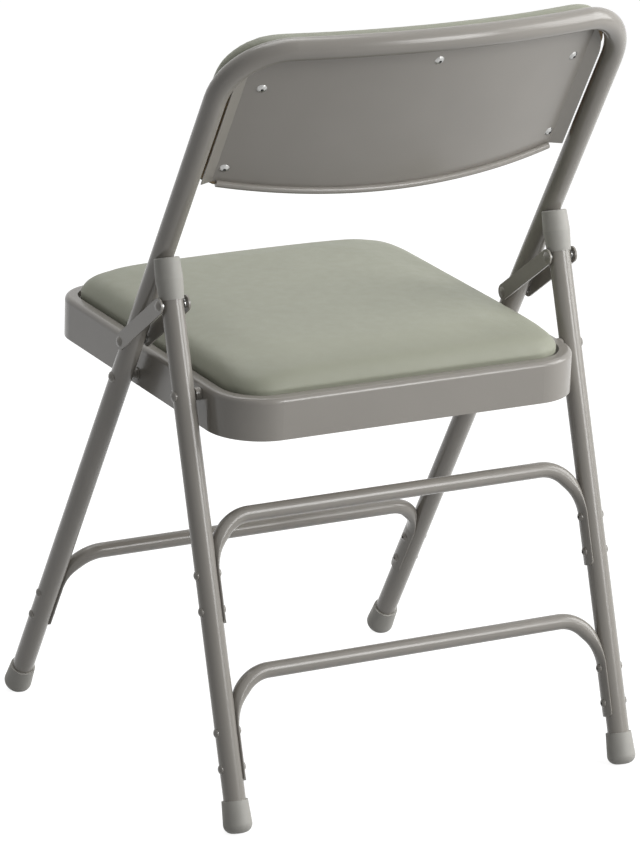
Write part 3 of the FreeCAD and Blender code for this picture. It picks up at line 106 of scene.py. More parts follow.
class Shader:
    """Small helper that builds one node material."""

    def __init__(self, name):
        self.material = bpy.data.materials.new(name)
        self.material.use_nodes = True
        self.tree = self.material.node_tree
        self.tree.nodes.clear()
        self.out = self.node("ShaderNodeOutputMaterial")
        self.surface = self.node("ShaderNodeBsdfPrincipled")
        self.link(self.surface.outputs["BSDF"], self.out.inputs["Surface"])
        self.place = self.node("ShaderNodeTexCoord").outputs["Object"]

    def node(self, kind, **settings):
        made = self.tree.nodes.new(kind)
        for key, value in settings.items():
            setattr(made, key, value)
        return made

    def link(self, start, end):
        self.tree.links.new(start, end)

    def colour(self, value):
        self.link(value, self.surface.inputs["Base Color"])

    def roughness(self, value):
        self.link(value, self.surface.inputs["Roughness"])

    def plain(self, **sockets):
        """Sets sockets of the surface that are the same all over."""
        for key, value in sockets.items():
            self.surface.inputs[key.replace("_", " ")].default_value = value

    def noise(self, scale, detail=4.0, roughness=0.55, stretch=None):
        """Cloudy pattern, scaled per axis where stretch is given."""
        place = self.place
        if stretch is not None:
            mapping = self.node("ShaderNodeMapping")
            mapping.inputs["Scale"].default_value = stretch
            self.link(place, mapping.inputs["Vector"])
            place = mapping.outputs["Vector"]
        noise = self.node("ShaderNodeTexNoise")
        noise.inputs["Scale"].default_value = scale
        noise.inputs["Detail"].default_value = detail
        noise.inputs["Roughness"].default_value = roughness
        self.link(place, noise.inputs["Vector"])
        return noise.outputs["Fac"]

    def cells(self, scale):
        """Pattern of cells, as the distance to the nearest border."""
        voronoi = self.node("ShaderNodeTexVoronoi", feature="DISTANCE_TO_EDGE")
        voronoi.inputs["Scale"].default_value = scale
        self.link(self.place, voronoi.inputs["Vector"])
        return voronoi.outputs["Distance"]

    def spread(self, value, low, high, start=0.3, end=0.7):
        """Maps a pattern's middle range to low..high."""
        ranged = self.node("ShaderNodeMapRange")
        limits = {"From Min": start, "From Max": end, "To Min": low, "To Max": high}
        for name, number in limits.items():
            ranged.inputs[name].default_value = number
        self.link(value, ranged.inputs["Value"])
        return ranged.outputs["Result"]

    def tint(self, colour, value):
        """Colour whose brightness follows a pattern near 1."""
        scaled = self.node("ShaderNodeVectorMath", operation="SCALE")
        scaled.inputs[0].default_value = colour[:3]
        self.link(value, scaled.inputs["Scale"])
        return scaled.outputs["Vector"]

    def blend(self, value, first, second):
        """Colour that goes from the first to the second as a pattern goes from 0 to 1."""
        mix = self.node("ShaderNodeMix", data_type="RGBA")
        self.link(value, mix.inputs["Factor"])
        mix.inputs["A"].default_value = (*first[:3], 1)
        mix.inputs["B"].default_value = (*second[:3], 1)
        return mix.outputs["Result"]

    def emboss(self, *layers):
        """Stacks bumps, each a height, a strength and a distance in metres."""
        normal = None
        for height, strength, distance in layers:
            bump = self.node("ShaderNodeBump")
            bump.inputs["Strength"].default_value = strength
            bump.inputs["Distance"].default_value = distance
            self.link(height, bump.inputs["Height"])
            if normal is not None:
                self.link(normal, bump.inputs["Normal"])
            normal = bump.outputs["Normal"]
        self.link(normal, self.surface.inputs["Normal"])


def satin_paint(name, colour):
    """Baked powder coat: even colour, satin gloss, and a faint orange peel."""
    paint = Shader(name)
    cloud = paint.noise(9.0, 2.0)
    paint.colour(paint.tint(colour, paint.spread(cloud, 0.965, 1.035)))
    paint.roughness(paint.spread(paint.noise(14.0, 2.0), 0.20, 0.26))
    paint.emboss((paint.noise(800.0, 1.0), 0.04, 0.0002))
    paint.plain(Specular_IOR_Level=0.45)
    return paint.material


def moulded_plastic(name, colour):
    """Matt moulded plastic with a fine spark-eroded texture."""
    plastic = Shader(name)
    mottle = plastic.noise(40.0, 4.0)
    plastic.colour(plastic.tint(colour, plastic.spread(mottle, 0.95, 1.05)))
    plastic.roughness(plastic.spread(plastic.noise(150.0), 0.5, 0.62))
    plastic.emboss((plastic.noise(1500.0, 2.0), 0.25, 0.0002))
    plastic.plain(Specular_IOR_Level=0.4)
    return plastic.material


def zinc_plate(name, colour):
    """Bright zinc plating with faint rolling marks."""
    zinc = Shader(name)
    zinc.colour(zinc.tint(colour, zinc.spread(zinc.noise(300.0), 0.85, 1.1)))
    zinc.roughness(zinc.spread(zinc.noise(500.0), 0.22, 0.38))
    zinc.emboss((zinc.noise(900.0, 2.0), 0.15, 0.0002))
    zinc.plain(Metallic=1.0)
    return zinc.material


def grained_vinyl(name, colour):
    """Soft calendered vinyl: fine leather pebbles, a dull sheen and slightly uneven colour."""
    vinyl = Shader(name)
    cloud = vinyl.noise(7.0, 4.0)
    vinyl.colour(vinyl.tint(colour, vinyl.spread(cloud, 0.965, 1.035)))
    vinyl.roughness(vinyl.spread(vinyl.noise(90.0, 3.0), 0.50, 0.62))
    pebbles = vinyl.spread(vinyl.cells(780.0), 0.0, 1.0, 0.0, 0.35)
    vinyl.emboss((pebbles, 0.22, 0.00025), (vinyl.noise(160.0, 4.0), 0.12, 0.0006))
    vinyl.plain(Specular_IOR_Level=0.42, Sheen_Weight=0.08, Sheen_Roughness=0.5)
    return vinyl.material


def raw_plywood(name, colour):
    """Unfinished birch ply, its grain across the chair."""
    wood = Shader(name)
    grain = wood.noise(26.0, 8.0, 0.65, stretch=(1.2, 11.0, 11.0))
    pale = [channel * 1.12 for channel in colour[:3]]
    dark = [channel * 0.72 for channel in colour[:3]]
    wood.colour(wood.blend(wood.spread(grain, 0.0, 1.0, 0.35, 0.68), pale, dark))
    wood.roughness(wood.spread(grain, 0.62, 0.78))
    wood.emboss((grain, 0.25, 0.0006))
    return wood.material


def coat(nodes, material):
    """Gives CAD nodes one material."""
    for name in nodes:
        slots = NODES[name].data.materials
        slots.clear()
        slots.append(material)


def finish_named(name, maker, colour):
    """The finish of that name, made once."""
    return bpy.data.materials.get(name) or maker(name, colour)


# --- mesh helpers ------------------------------------------------------------------------------

def new_piece(name, mesh, material):
    """An object in the scene with one material."""
    piece = bpy.data.objects.new(name, mesh)
    bpy.context.scene.collection.objects.link(piece)
    piece.data.materials.clear()
    piece.data.materials.append(material)
    return piece


def merged_copy(node, name, material):
    """A closed copy of a CAD node's loose triangles."""
    mesh = NODES[node].data.copy()
    mesh.name = name
    work = bmesh.new()
    work.from_mesh(mesh)
    bmesh.ops.remove_doubles(work, verts=work.verts, dist=WELD)
    bmesh.ops.recalc_face_normals(work, faces=work.faces)
    work.to_mesh(mesh)
    work.free()
    return new_piece(name, mesh, material)


def apply_modifiers(piece):
    """Bakes a piece's modifiers into its mesh and keeps its materials."""
    graph = bpy.context.evaluated_depsgraph_get()
    mesh = bpy.data.meshes.new_from_object(piece.evaluated_get(graph), depsgraph=graph)
    materials = list(piece.data.materials)
    piece.modifiers.clear()
    piece.data = mesh
    mesh.materials.clear()
    for material in materials:
        mesh.materials.append(material)


def remesh(piece, voxel):
    """Makes a piece one closed, evenly divided skin."""
    step = piece.modifiers.new("Remesh", "REMESH")
    step.mode = "VOXEL"
    step.voxel_size = voxel
    apply_modifiers(piece)


def smooth(piece):
    """Shades a piece smooth."""
    piece.data.polygons.foreach_set("use_smooth", [True] * len(piece.data.polygons))
    piece.data.update()


def relax(piece, rounds):
    """Rounds off a piece's edges."""
    step = piece.modifiers.new("Smooth", "SMOOTH")
    step.iterations = rounds
    step.factor = 0.5
    apply_modifiers(piece)


def subdivide(piece):
    """Divides a piece's faces once."""
    step = piece.modifiers.new("Subdivision", "SUBSURF")
    step.levels = 1
    step.render_levels = 1
    apply_modifiers(piece)


CLOTH_FRAMES = 20
EVENING_ROUNDS = 25


def inflate(piece, held, cap, pressure):
    """Swells a foam pad by cloth pressure; held(point) is 1 where the cover is fastened down.

    Only the outward part of the motion counts, no more than cap, evened over the pad.
    """
    start = [(vertex.co.copy(), vertex.normal.copy()) for vertex in piece.data.vertices]
    pinned = piece.vertex_groups.new(name="fastened")
    for vertex in piece.data.vertices:
        weight = held(vertex.co)
        if weight > 0:
            pinned.add([vertex.index], weight, "REPLACE")
    cloth = piece.modifiers.new("Cloth", "CLOTH")
    cloth.settings.use_pressure = True
    cloth.settings.uniform_pressure_force = pressure
    cloth.settings.vertex_group_mass = "fastened"
    cloth.settings.effector_weights.gravity = 0
    cloth.settings.quality = 5
    cloth.point_cache.frame_start = 1
    cloth.point_cache.frame_end = CLOTH_FRAMES
    for number in range(CLOTH_FRAMES):
        bpy.context.scene.frame_set(number + 1)
    apply_modifiers(piece)
    bpy.context.scene.frame_set(1)
    swell = [min(max((vertex.co - before).dot(outward), 0), cap)
             for vertex, (before, outward) in zip(piece.data.vertices, start)]
    even_out(piece.data, swell, EVENING_ROUNDS)
    for vertex, (before, outward), grown in zip(piece.data.vertices, start, swell):
        vertex.co = before + outward * grown
    piece.vertex_groups.clear()


def even_out(mesh, values, rounds):
    """Averages one value per point with its neighbours, so that the swelling has no creases."""
    around = [[] for _ in values]
    for edge in mesh.edges:
        first, second = edge.vertices
        around[first].append(second)
        around[second].append(first)
    for _ in range(rounds):
        means = [sum(values[other] for other in near) / max(len(near), 1) for near in around]
        for index, mean in enumerate(means):
            values[index] = (values[index] + mean) / 2


def joined(first, second):
    """One piece of two, so that a remesh makes them one closed form."""
    work = bmesh.new()
    work.from_mesh(first.data)
    work.from_mesh(second.data)
    work.to_mesh(first.data)
    work.free()
    bpy.data.objects.remove(second)
    return first


def move_points(piece, there, change):
    """Replaces each point of a piece by change(point), in the coordinates of a plane."""
    back = there.inverted()
    for vertex in piece.data.vertices:
        vertex.co = there @ change(back @ vertex.co)
    piece.data.update()


def local_box(node, there):
    """Lowest and highest corners of a node in the coordinates of a plane."""
    back = there.inverted()
    points = [back @ vertex.co for vertex in NODES[node].data.vertices]
    low = Vector([min(point[axis] for point in points) for axis in range(3)])
    high = Vector([max(point[axis] for point in points) for axis in range(3)])
    return low, high


def bell(value, start, end):
    """Smooth step from 0 at start to 1 at end."""
    share = min(max((value - start) / (end - start), 0), 1)
    return share * share * (3 - 2 * share)


def seat_inset(x, y, low, high):
    """How far a point lies inside the seat cushion's rounded outline."""
    half_width, front, rear = high.x, low.y, high.y
    radius = CUSHION_REAR_CORNER if y > (front + rear) / 2 else CUSHION_FRONT_CORNER
    across = abs(x) - (half_width - radius)
    along = abs(y - (front + rear) / 2) - ((rear - front) / 2 - radius)
    outside = math.hypot(max(across, 0), max(along, 0))
    return radius - outside - min(max(across, along), 0)


def seat_outward(x, y, low, high):
    """Level direction that leads straight out through the seat cushion's side."""
    reach = 0.0005
    across = seat_inset(x + reach, y, low, high) - seat_inset(x - reach, y, low, high)
    along = seat_inset(x, y + reach, low, high) - seat_inset(x, y - reach, low, high)
    return Vector((-across, -along, 0)).normalized()


def bow_of_back():
    """Centre and radius of the back board's bowed rear face, from three of its points."""
    back = BACK_BASIS.inverted()
    points = [back @ vertex.co for vertex in NODES["backrest_board"].data.vertices]
    side = max(point.x for point in points)
    middle = max(point.y for point in points)
    at_the_side = 0.0005
    edge = max(point.y for point in points if point.x > side - at_the_side)
    sagitta = middle - edge
    radius = (side * side + sagitta * sagitta) / (2 * sagitta)
    return middle - radius, radius


def islands(node, there):
    """Points of each separate solid of a node, in the coordinates of a plane."""
    work = bmesh.new()
    work.from_mesh(NODES[node].data)
    bmesh.ops.remove_doubles(work, verts=work.verts, dist=WELD)
    back = there.inverted()
    left, found = set(work.verts), []
    for seed in list(work.verts):
        if seed not in left:
            continue
        left.discard(seed)
        queue, island = [seed], []
        while queue:
            vertex = queue.pop()
            island.append(back @ vertex.co)
            for edge in vertex.link_edges:
                other = edge.other_vert(vertex)
                if other in left:
                    left.discard(other)
                    queue.append(other)
        found.append(island)
    work.free()
    return found


def face_outwards(piece):
    """Turns a closed piece's normals outwards."""
    work = bmesh.new()
    work.from_mesh(piece.data)
    bmesh.ops.recalc_face_normals(work, faces=work.faces)
    work.to_mesh(piece.data)
    work.free()


SMALLEST_BEND, FEWEST_STEPS = 0.004, 6   # of the outline's corners


def under_seat_outline(inset, step):
    """Places around the frame's inside at an inset, each with the way inwards and 1 in a corner."""
    low, high = local_box("seat_frame", SEAT_BASIS)
    corners = ((1, 1, FRAME_REAR_CORNER), (-1, 1, FRAME_REAR_CORNER),
               (-1, -1, FRAME_FRONT_CORNER), (1, -1, FRAME_FRONT_CORNER))
    placed = []
    for number, (right, back, radius) in enumerate(corners):
        edge_y = high.y if back > 0 else low.y
        bend = max(radius - inset, SMALLEST_BEND)
        centre = Vector((right * (high.x - inset - bend), edge_y - back * (inset + bend), 0))
        count = max(int(bend * math.pi / 2 / step), FEWEST_STEPS)
        for part in range(count + 1):
            angle = (number + part / count) * math.pi / 2
            outward = Vector((math.cos(angle), math.sin(angle), 0))
            placed.append((centre + outward * bend, -outward, 1.0))
    full = []
    for number, (place, inward, turning) in enumerate(placed):
        full.append((place, inward, turning))
        after = placed[(number + 1) % len(placed)]
        gap = (after[0] - place).length
        if gap > 3 * step:
            count = int(gap / step)
            full += [(place.lerp(after[0], part / count), inward, 0.0) for part in range(1, count)]
    return full


# --- node trees --------------------------------------------------------------------------------

class Growth:
    """Small helper that builds one Geometry Nodes tree."""

    def __init__(self, name, **inputs):
        self.tree = bpy.data.node_groups.new(name, "GeometryNodeTree")
        face = self.tree.interface
        face.new_socket("Geometry", in_out="INPUT", socket_type="NodeSocketGeometry")
        for label, kind in inputs.items():
            face.new_socket(label, in_out="INPUT", socket_type=kind)
        face.new_socket("Geometry", in_out="OUTPUT", socket_type="NodeSocketGeometry")
        self.given = self.tree.nodes.new("NodeGroupInput").outputs
        self.result = self.tree.nodes.new("NodeGroupOutput").inputs

    def node(self, kind, inputs, **settings):
        """Adds a node, with its inputs linked or set, and gives its outputs."""
        made = self.tree.nodes.new(kind)
        for key, value in settings.items():
            setattr(made, key, value)
        for key, value in inputs.items():
            if isinstance(value, bpy.types.NodeSocket):
                self.tree.links.new(value, made.inputs[key])
            else:
                made.inputs[key].default_value = value
        return made.outputs

    def times(self, value, factor):
        return self.node("ShaderNodeMath", {0: value, 1: factor}, operation="MULTIPLY")["Value"]

    def finish(self, geometry, material):
        """Ends the tree with plain geometry in one material."""
        real = self.node("GeometryNodeRealizeInstances", {"Geometry": geometry})
        coated = self.node("GeometryNodeSetMaterial",
                           {"Geometry": real["Geometry"], "Material": material})
        self.tree.links.new(coated["Geometry"], self.result["Geometry"])
        return self.tree


def staple_row(material):
    """Staples along a path, each turned a little from its neighbours."""
    number = "NodeSocketFloat"
    row = Growth("staple_row", Crown=number, Wire=number, Pitch=number, Turn=number,
                 Seed="NodeSocketInt")
    path = row.node("GeometryNodeMeshToCurve", {"Mesh": row.given["Geometry"]})
    spaced = row.node("GeometryNodeResampleCurve",
                      {"Curve": path["Curve"], "Length": row.given["Pitch"]}, mode="LENGTH")
    half = row.times(row.given["Crown"], 0.5)
    start = row.node("ShaderNodeCombineXYZ", {"X": row.times(half, -1.0)})["Vector"]
    end = row.node("ShaderNodeCombineXYZ", {"X": half})["Vector"]
    crown = row.node("GeometryNodeCurvePrimitiveLine", {"Start": start, "End": end})["Curve"]
    ring = row.node("GeometryNodeCurvePrimitiveCircle",
                    {"Resolution": 8, "Radius": row.times(row.given["Wire"], 0.5)})["Curve"]
    staple = row.node("GeometryNodeCurveToMesh",
                      {"Curve": crown, "Profile Curve": ring, "Fill Caps": True})
    along = row.node("GeometryNodeInputTangent", {})["Tangent"]
    heading = row.node("FunctionNodeAlignRotationToVector", {"Vector": along}, axis="X")
    least = row.times(row.given["Turn"], -1.0)
    random = row.node("FunctionNodeRandomValue",
                      {2: least, 3: row.given["Turn"], "Seed": row.given["Seed"]},
                      data_type="FLOAT")
    twist = row.node("ShaderNodeCombineXYZ", {"Z": random[1]})["Vector"]
    turn = row.node("FunctionNodeEulerToRotation", {"Euler": twist})["Rotation"]
    turned = row.node("FunctionNodeRotateRotation",
                      {"Rotation": heading["Rotation"], "Rotate By": turn},
                      rotation_space="LOCAL")["Rotation"]
    placed = row.node("GeometryNodeInstanceOnPoints",
                      {"Points": spaced["Curve"], "Instance": staple["Mesh"],
                       "Rotation": turned})
    return row.finish(placed["Instances"], material)


def stem_set(material):
    """A short stem at each point, along the point's heading."""
    stems = Growth("stem_set", Radius="NodeSocketFloat", Length="NodeSocketFloat")
    stem = stems.node("GeometryNodeMeshCylinder",
                      {"Vertices": 20, "Radius": stems.given["Radius"],
                       "Depth": stems.given["Length"]})["Mesh"]
    heading = stems.node("GeometryNodeInputNamedAttribute", {"Name": "heading"},
                         data_type="FLOAT_VECTOR")
    turned = stems.node("FunctionNodeAlignRotationToVector",
                        {"Vector": heading["Attribute"]}, axis="Z")
    placed = stems.node("GeometryNodeInstanceOnPoints",
                        {"Points": stems.given["Geometry"], "Instance": stem,
                         "Rotation": turned["Rotation"]})
    return stems.finish(placed["Instances"], material)


def grow(piece, tree, sizes):
    """Runs a tree on a piece and leaves its result as the piece's plain mesh."""
    step = piece.modifiers.new("Growth", "NODES")
    step.node_group = tree
    for item in tree.interface.items_tree:
        if item.in_out == "INPUT" and item.name in sizes:
            step[item.identifier] = sizes[item.name]
    apply_modifiers(piece)


# --- settings ----------------------------------------------------------------------------------

def amount(name, text, default, **kind):
    return bpy.props.FloatProperty(name=name, description=text, default=default, **kind)


def length(name, text, default):
    return amount(name, text, default, unit="LENGTH", precision=5)


def angle(name, text, degrees):
    return amount(name, text, math.radians(degrees), subtype="ANGLE")


def colour(name, text, default):
    return bpy.props.FloatVectorProperty(name=name, description=text, default=default,
                                         subtype="COLOR", size=3, min=0, max=1)


class FinishSettings(bpy.types.PropertyGroup):
    """Colours of the chair's finishes, as linear values."""
    paint: colour("Paint", "Powder coat of the steel frame", (0.272, 0.256, 0.231))
    plastic: colour("Plastic", "Moulded feet and leg caps", (0.365, 0.357, 0.330))
    vinyl: colour("Vinyl", "Cover of the seat and back", (0.288, 0.296, 0.232))
    zinc: colour("Zinc", "Plated rivets, screws and washers", (0.40, 0.40, 0.39))
    wood: colour("Plywood", "Boards inside the pads", (0.50, 0.37, 0.22))


class PadSettings(bpy.types.PropertyGroup):
    """Shape of the two upholstered pads."""
    voxel: length("Mesh step", "Size of the pads' mesh before it is divided once", 0.0045)
    seat_crown: length("Seat crown", "Middle of the seat's cover above the rim", 0.0275)
    seat_edge: length("Seat edge", "Height at which the cover leaves the rim", 0.0045)
    side_fall: length("Side fall", "How soon the crown rises from the sides and the rear", 0.0106)
    front_fall: length("Front fall", "How soon the crown rises from the front edge", 0.0060)
    corner_fall: length("Corner fall", "Reach of the low corners", 0.070)
    seam_gap: length("Seam gap", "How far the cover is drawn in where it enters the rim", 0.0015)
    hem_start: length("Hem start", "From the frame's outside to the turned-under cover", 0.0334)
    hem_end: length("Hem end", "From the frame's outside to the cut edge of the cover", 0.0500)
    hem_thickness: length("Cover thickness", "Thickness of the vinyl under the board", 0.0009)
    seat_swell: length("Seat swell", "Most that the seat's foam swells", 0.0030)
    back_swell: length("Back swell", "Most that the back's foam swells", 0.0060)
    pressure: amount("Pressure", "Pressure inside the pads", 4.0)


class StapleSettings(bpy.types.PropertyGroup):
    """Staples under the seat board, and the stems of the back's rivets."""
    crown: length("Crown", "Width of a staple", 0.0100)
    wire: length("Wire", "Thickness of a staple's wire", 0.0010)
    pitch: length("Pitch", "Distance between staples", 0.0300)
    inset: length("Inset", "From the frame's outside to the row of staples", 0.0425)
    stem: length("Stem", "Thickness of a rivet's stem", 0.0026)
    stem_depth: length("Stem depth", "How deep a stem's middle lies in its rivet", 0.0013)


class StageSettings(bpy.types.PropertyGroup):
    """Camera, lamps and background."""
    azimuth: angle("Azimuth", "Camera's turn from the chair's front", 151.81)
    elevation: angle("Elevation", "Camera's height above the horizon", 15.20)
    distance: length("Distance", "Camera to the point that it looks at", 5.2024)
    target_height: length("Target height", "Height of the point that the camera looks at", 0.33219)
    target_rear: length("Target depth", "Place of that point behind the chair's middle", -0.00059)
    lens: amount("Lens", "Focal length in mm on a 36 mm sensor", 219.15)
    key: amount("Key lamp", "Power of the wide side lamp in watts", 58.0)
    strip: amount("Strip lamp", "Power of the narrow lamp in watts", 36.0)
    top: amount("Top lamp", "Power of the top lamp in watts", 24.0)
    sky: amount("Sky", "Strength of the even light", 0.24)


SETTINGS = {"chair_finish": FinishSettings, "chair_pads": PadSettings,
            "chair_staples": StapleSettings, "chair_stage": StageSettings}


# --- pieces ------------------------------------------------------------------------------------

class CHAIR_OT_finishes(bpy.types.Operator):
    """Paints the steel, plastic, plated and wooden CAD nodes"""
    bl_idname = "chair.finishes"
    bl_label = "Finish frame and fittings"

    def execute(self, context):
        wanted = context.scene.chair_finish
        coat(PAINTED, finish_named("warm_grey_powder_coat", satin_paint, wanted.paint))
        coat(MOULDED, finish_named("grey_moulded_plastic", moulded_plastic, wanted.plastic))
        coat(PLATED, finish_named("bright_zinc_plate", zinc_plate, wanted.zinc))
        coat(WOODEN, finish_named("raw_birch_plywood", raw_plywood, wanted.wood))
        return {"FINISHED"}


class CHAIR_OT_seat_pad(bpy.types.Operator):
    """Makes the vinyl seat cushion, domed over its board and drawn in at the rim"""
    bl_idname = "chair.seat_pad"
    bl_label = "Seat cushion"

    FREE_HEIGHT = 0.008        # above the rim, where the cover is free to swell
    RELAXING = 9               # rounds
    CROWN_POWER = 0.565        # how steeply the crown leaves the sides and the rear
    EDGE_REACH = 0.009         # inset at which the crown has its full share
    EDGE_START = -0.004
    CORNER_SHARE = 0.78        # share of the crown that the corners have
    CORNER_START = 0.008
    SIDE_REACH = 0.012         # inset up to which the cover counts as its side
    SEAM_LOW, SEAM_HIGH = -0.001, 0.005   # from the rim, where the drawing in fades out
    OVER_BOARD = 0.0010        # cover above the board's upper face
    BOARD_MARGIN = 0.0010      # how far past its edge the board still lifts the cover
    BESIDE_BOARD = 0.0016      # cover outside the board's edge
    BEND_REACH = 0.0036        # how far inside that edge the side's points may have strayed
    FOAM_LIFT = 0.0020         # foam above the board's lower face
    SIDE_LIFT = 0.0003         # the cover's side above the board's lower face

    def execute(self, context):
        pads = context.scene.chair_pads
        vinyl = finish_named("sage_vinyl", grained_vinyl, context.scene.chair_finish.vinyl)
        low, high = local_box("seat_cushion", SEAT_BASIS)
        rim = local_box("seat_frame", SEAT_BASIS)[1].z
        pad = joined(merged_copy("seat_cushion", "seat_pad", vinyl),
                     merged_copy("seat_board", "core", vinyl))
        remesh(pad, pads.voxel)
        move_points(pad, SEAT_BASIS, lambda point: self.domed(point, pads, low, high, rim))
        remesh(pad, pads.voxel)
        back = SEAT_BASIS.inverted()
        inflate(pad, lambda point: 1 - bell((back @ point).z, rim, rim + self.FREE_HEIGHT),
                pads.seat_swell, pads.pressure)
        relax(pad, self.RELAXING)
        subdivide(pad)
        board = local_box("seat_board", SEAT_BASIS)
        move_points(pad, SEAT_BASIS,
                    lambda point: self.tucked(point, pads, low, high, rim, board))
        smooth(pad)
        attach(pad, "seat")
        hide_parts("seat_cushion")
        return {"FINISHED"}

    def domed(self, point, pads, low, high, rim):
        """Lowers the block's edges and corners and raises its middle to the crown."""
        side = max(high.x - abs(point.x), 0)
        front, rear = max(point.y - low.y, 0), max(high.y - point.y, 0)
        edge = seat_inset(point.x, point.y, low, high)
        rise = 1 - math.exp(-((side / pads.side_fall) ** self.CROWN_POWER))
        rise *= 1 - math.exp(-((rear / pads.side_fall) ** self.CROWN_POWER))
        rise *= 1 - math.exp(-front / pads.front_fall)
        rise *= math.sqrt(bell(edge, self.EDGE_START, self.EDGE_REACH))
        from_corner = math.hypot(side, min(front, rear))
        full = bell(from_corner, self.CORNER_START, pads.corner_fall)
        rise *= self.CORNER_SHARE + (1 - self.CORNER_SHARE) * full
        target = pads.seat_edge + (pads.seat_crown - pads.seat_edge) * rise
        if point.z > rim:
            point.z = rim + (point.z - rim) * target / (high.z - rim)
        return point

    def tucked(self, point, pads, low, high, rim, board):
        """Draws the cover in where it goes down inside the rim, and keeps it clear of the board."""
        outward = seat_outward(point.x, point.y, low, high)
        edge = seat_inset(point.x, point.y, low, high)
        if edge < self.SIDE_REACH:
            drawn = pads.seam_gap * (1 - bell(point.z, rim + self.SEAM_LOW, rim + self.SEAM_HIGH))
            point -= outward * drawn
            edge += drawn
        inside = edge - (high.x - board[1].x)
        over_board = board[1].z + self.OVER_BOARD
        if point.z < over_board and -self.BESIDE_BOARD < inside < self.BEND_REACH:
            point += outward * (inside + self.BESIDE_BOARD)
        elif point.z > (board[0].z + board[1].z) / 2 and inside > -self.BOARD_MARGIN:
            point.z = max(point.z, over_board)
        lift = self.FOAM_LIFT if inside > -self.BESIDE_BOARD / 2 else self.SIDE_LIFT
        point.z = max(point.z, board[0].z + lift)
        return point


class CHAIR_OT_seat_hem(bpy.types.Operator):
    """Makes the vinyl that is turned under the seat board, with its wavy cut edge"""
    bl_idname = "chair.seat_hem"
    bl_label = "Turned-under cover"

    STEP = 0.0022              # along the hem
    COLUMNS = 5                # points across the hem, on each face
    WAVES = ((0.0012, 0.21, 0), (0.0008, 0.083, 1))   # height, pace and start, along the cut edge
    PLEAT = 0.0009             # height of the corners' pleats
    PLEAT_PACE = 1.9
    PLEAT_START = 0.15         # share of the fold's rise that the outer edge already has

    def execute(self, context):
        pads = context.scene.chair_pads
        vinyl = finish_named("sage_vinyl", grained_vinyl, context.scene.chair_finish.vinyl)
        mesh = bpy.data.meshes.new("seat_hem")
        mesh.from_pydata(*self.strip(pads))
        mesh.transform(SEAT_BASIS)
        hem = new_piece("seat_hem", mesh, vinyl)
        face_outwards(hem)
        smooth(hem)
        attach(hem, "seat")
        return {"FINISHED"}

    def strip(self, pads):
        """Closed strip: columns of points below, as many above, and the faces that join them."""
        ceiling = local_box("seat_board", SEAT_BASIS)[0].z - COVER_GAP
        outline = under_seat_outline(pads.hem_start, self.STEP)
        points = []
        for index, (place, inward, turning) in enumerate(outline):
            waves = (height * math.sin(index * pace + start) for height, pace, start in self.WAVES)
            reach = pads.hem_end - pads.hem_start + sum(waves)
            pleat = self.PLEAT * turning * (1 + math.sin(index * self.PLEAT_PACE))
            for column in range(self.COLUMNS):
                share = column / (self.COLUMNS - 1)
                here = place + inward * reach * share
                fold = pleat * math.sin(math.pi * min(share + self.PLEAT_START, 1))
                points.append((here.x, here.y, ceiling - pads.hem_thickness - fold))
            for column in reversed(range(self.COLUMNS)):
                here = place + inward * reach * column / (self.COLUMNS - 1)
                points.append((here.x, here.y, ceiling))
        around, faces = 2 * self.COLUMNS, []
        for row in range(len(outline)):
            here, after = row * around, (row + 1) % len(outline) * around
            for step in range(around):
                other = (step + 1) % around
                faces.append((here + step, here + other, after + other, after + step))
        return points, [], faces


class CHAIR_OT_staples(bpy.types.Operator):
    """Makes the row of staples that holds the cover to the seat board"""
    bl_idname = "chair.staples"
    bl_label = "Staples"

    STEP = 0.004               # along the staples' path
    WIRE_SHOWN = 0.4           # share of the wire between the vinyl and the wire's middle
    TURN, SEED = 0.16, 7       # most that a staple is turned, in radians, and the random seed

    def execute(self, context):
        wanted, pads = context.scene.chair_staples, context.scene.chair_pads
        steel = finish_named("bright_zinc_plate", zinc_plate, context.scene.chair_finish.zinc)
        outline = under_seat_outline(wanted.inset, self.STEP)
        height = local_box("seat_board", SEAT_BASIS)[0].z - COVER_GAP - pads.hem_thickness
        height -= wanted.wire * self.WIRE_SHOWN
        mesh = bpy.data.meshes.new("staple_path")
        points = [(place.x, place.y, height) for place, _, _ in outline]
        edges = [(index, (index + 1) % len(points)) for index in range(len(points))]
        mesh.from_pydata(points, edges, [])
        staples = new_piece("seat_staples", mesh, steel)
        grow(staples, staple_row(steel), {"Crown": wanted.crown, "Wire": wanted.wire,
                                          "Pitch": wanted.pitch, "Turn": self.TURN,
                                          "Seed": self.SEED})
        staples.data.transform(SEAT_BASIS)
        smooth(staples)
        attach(staples, "seat")
        return {"FINISHED"}


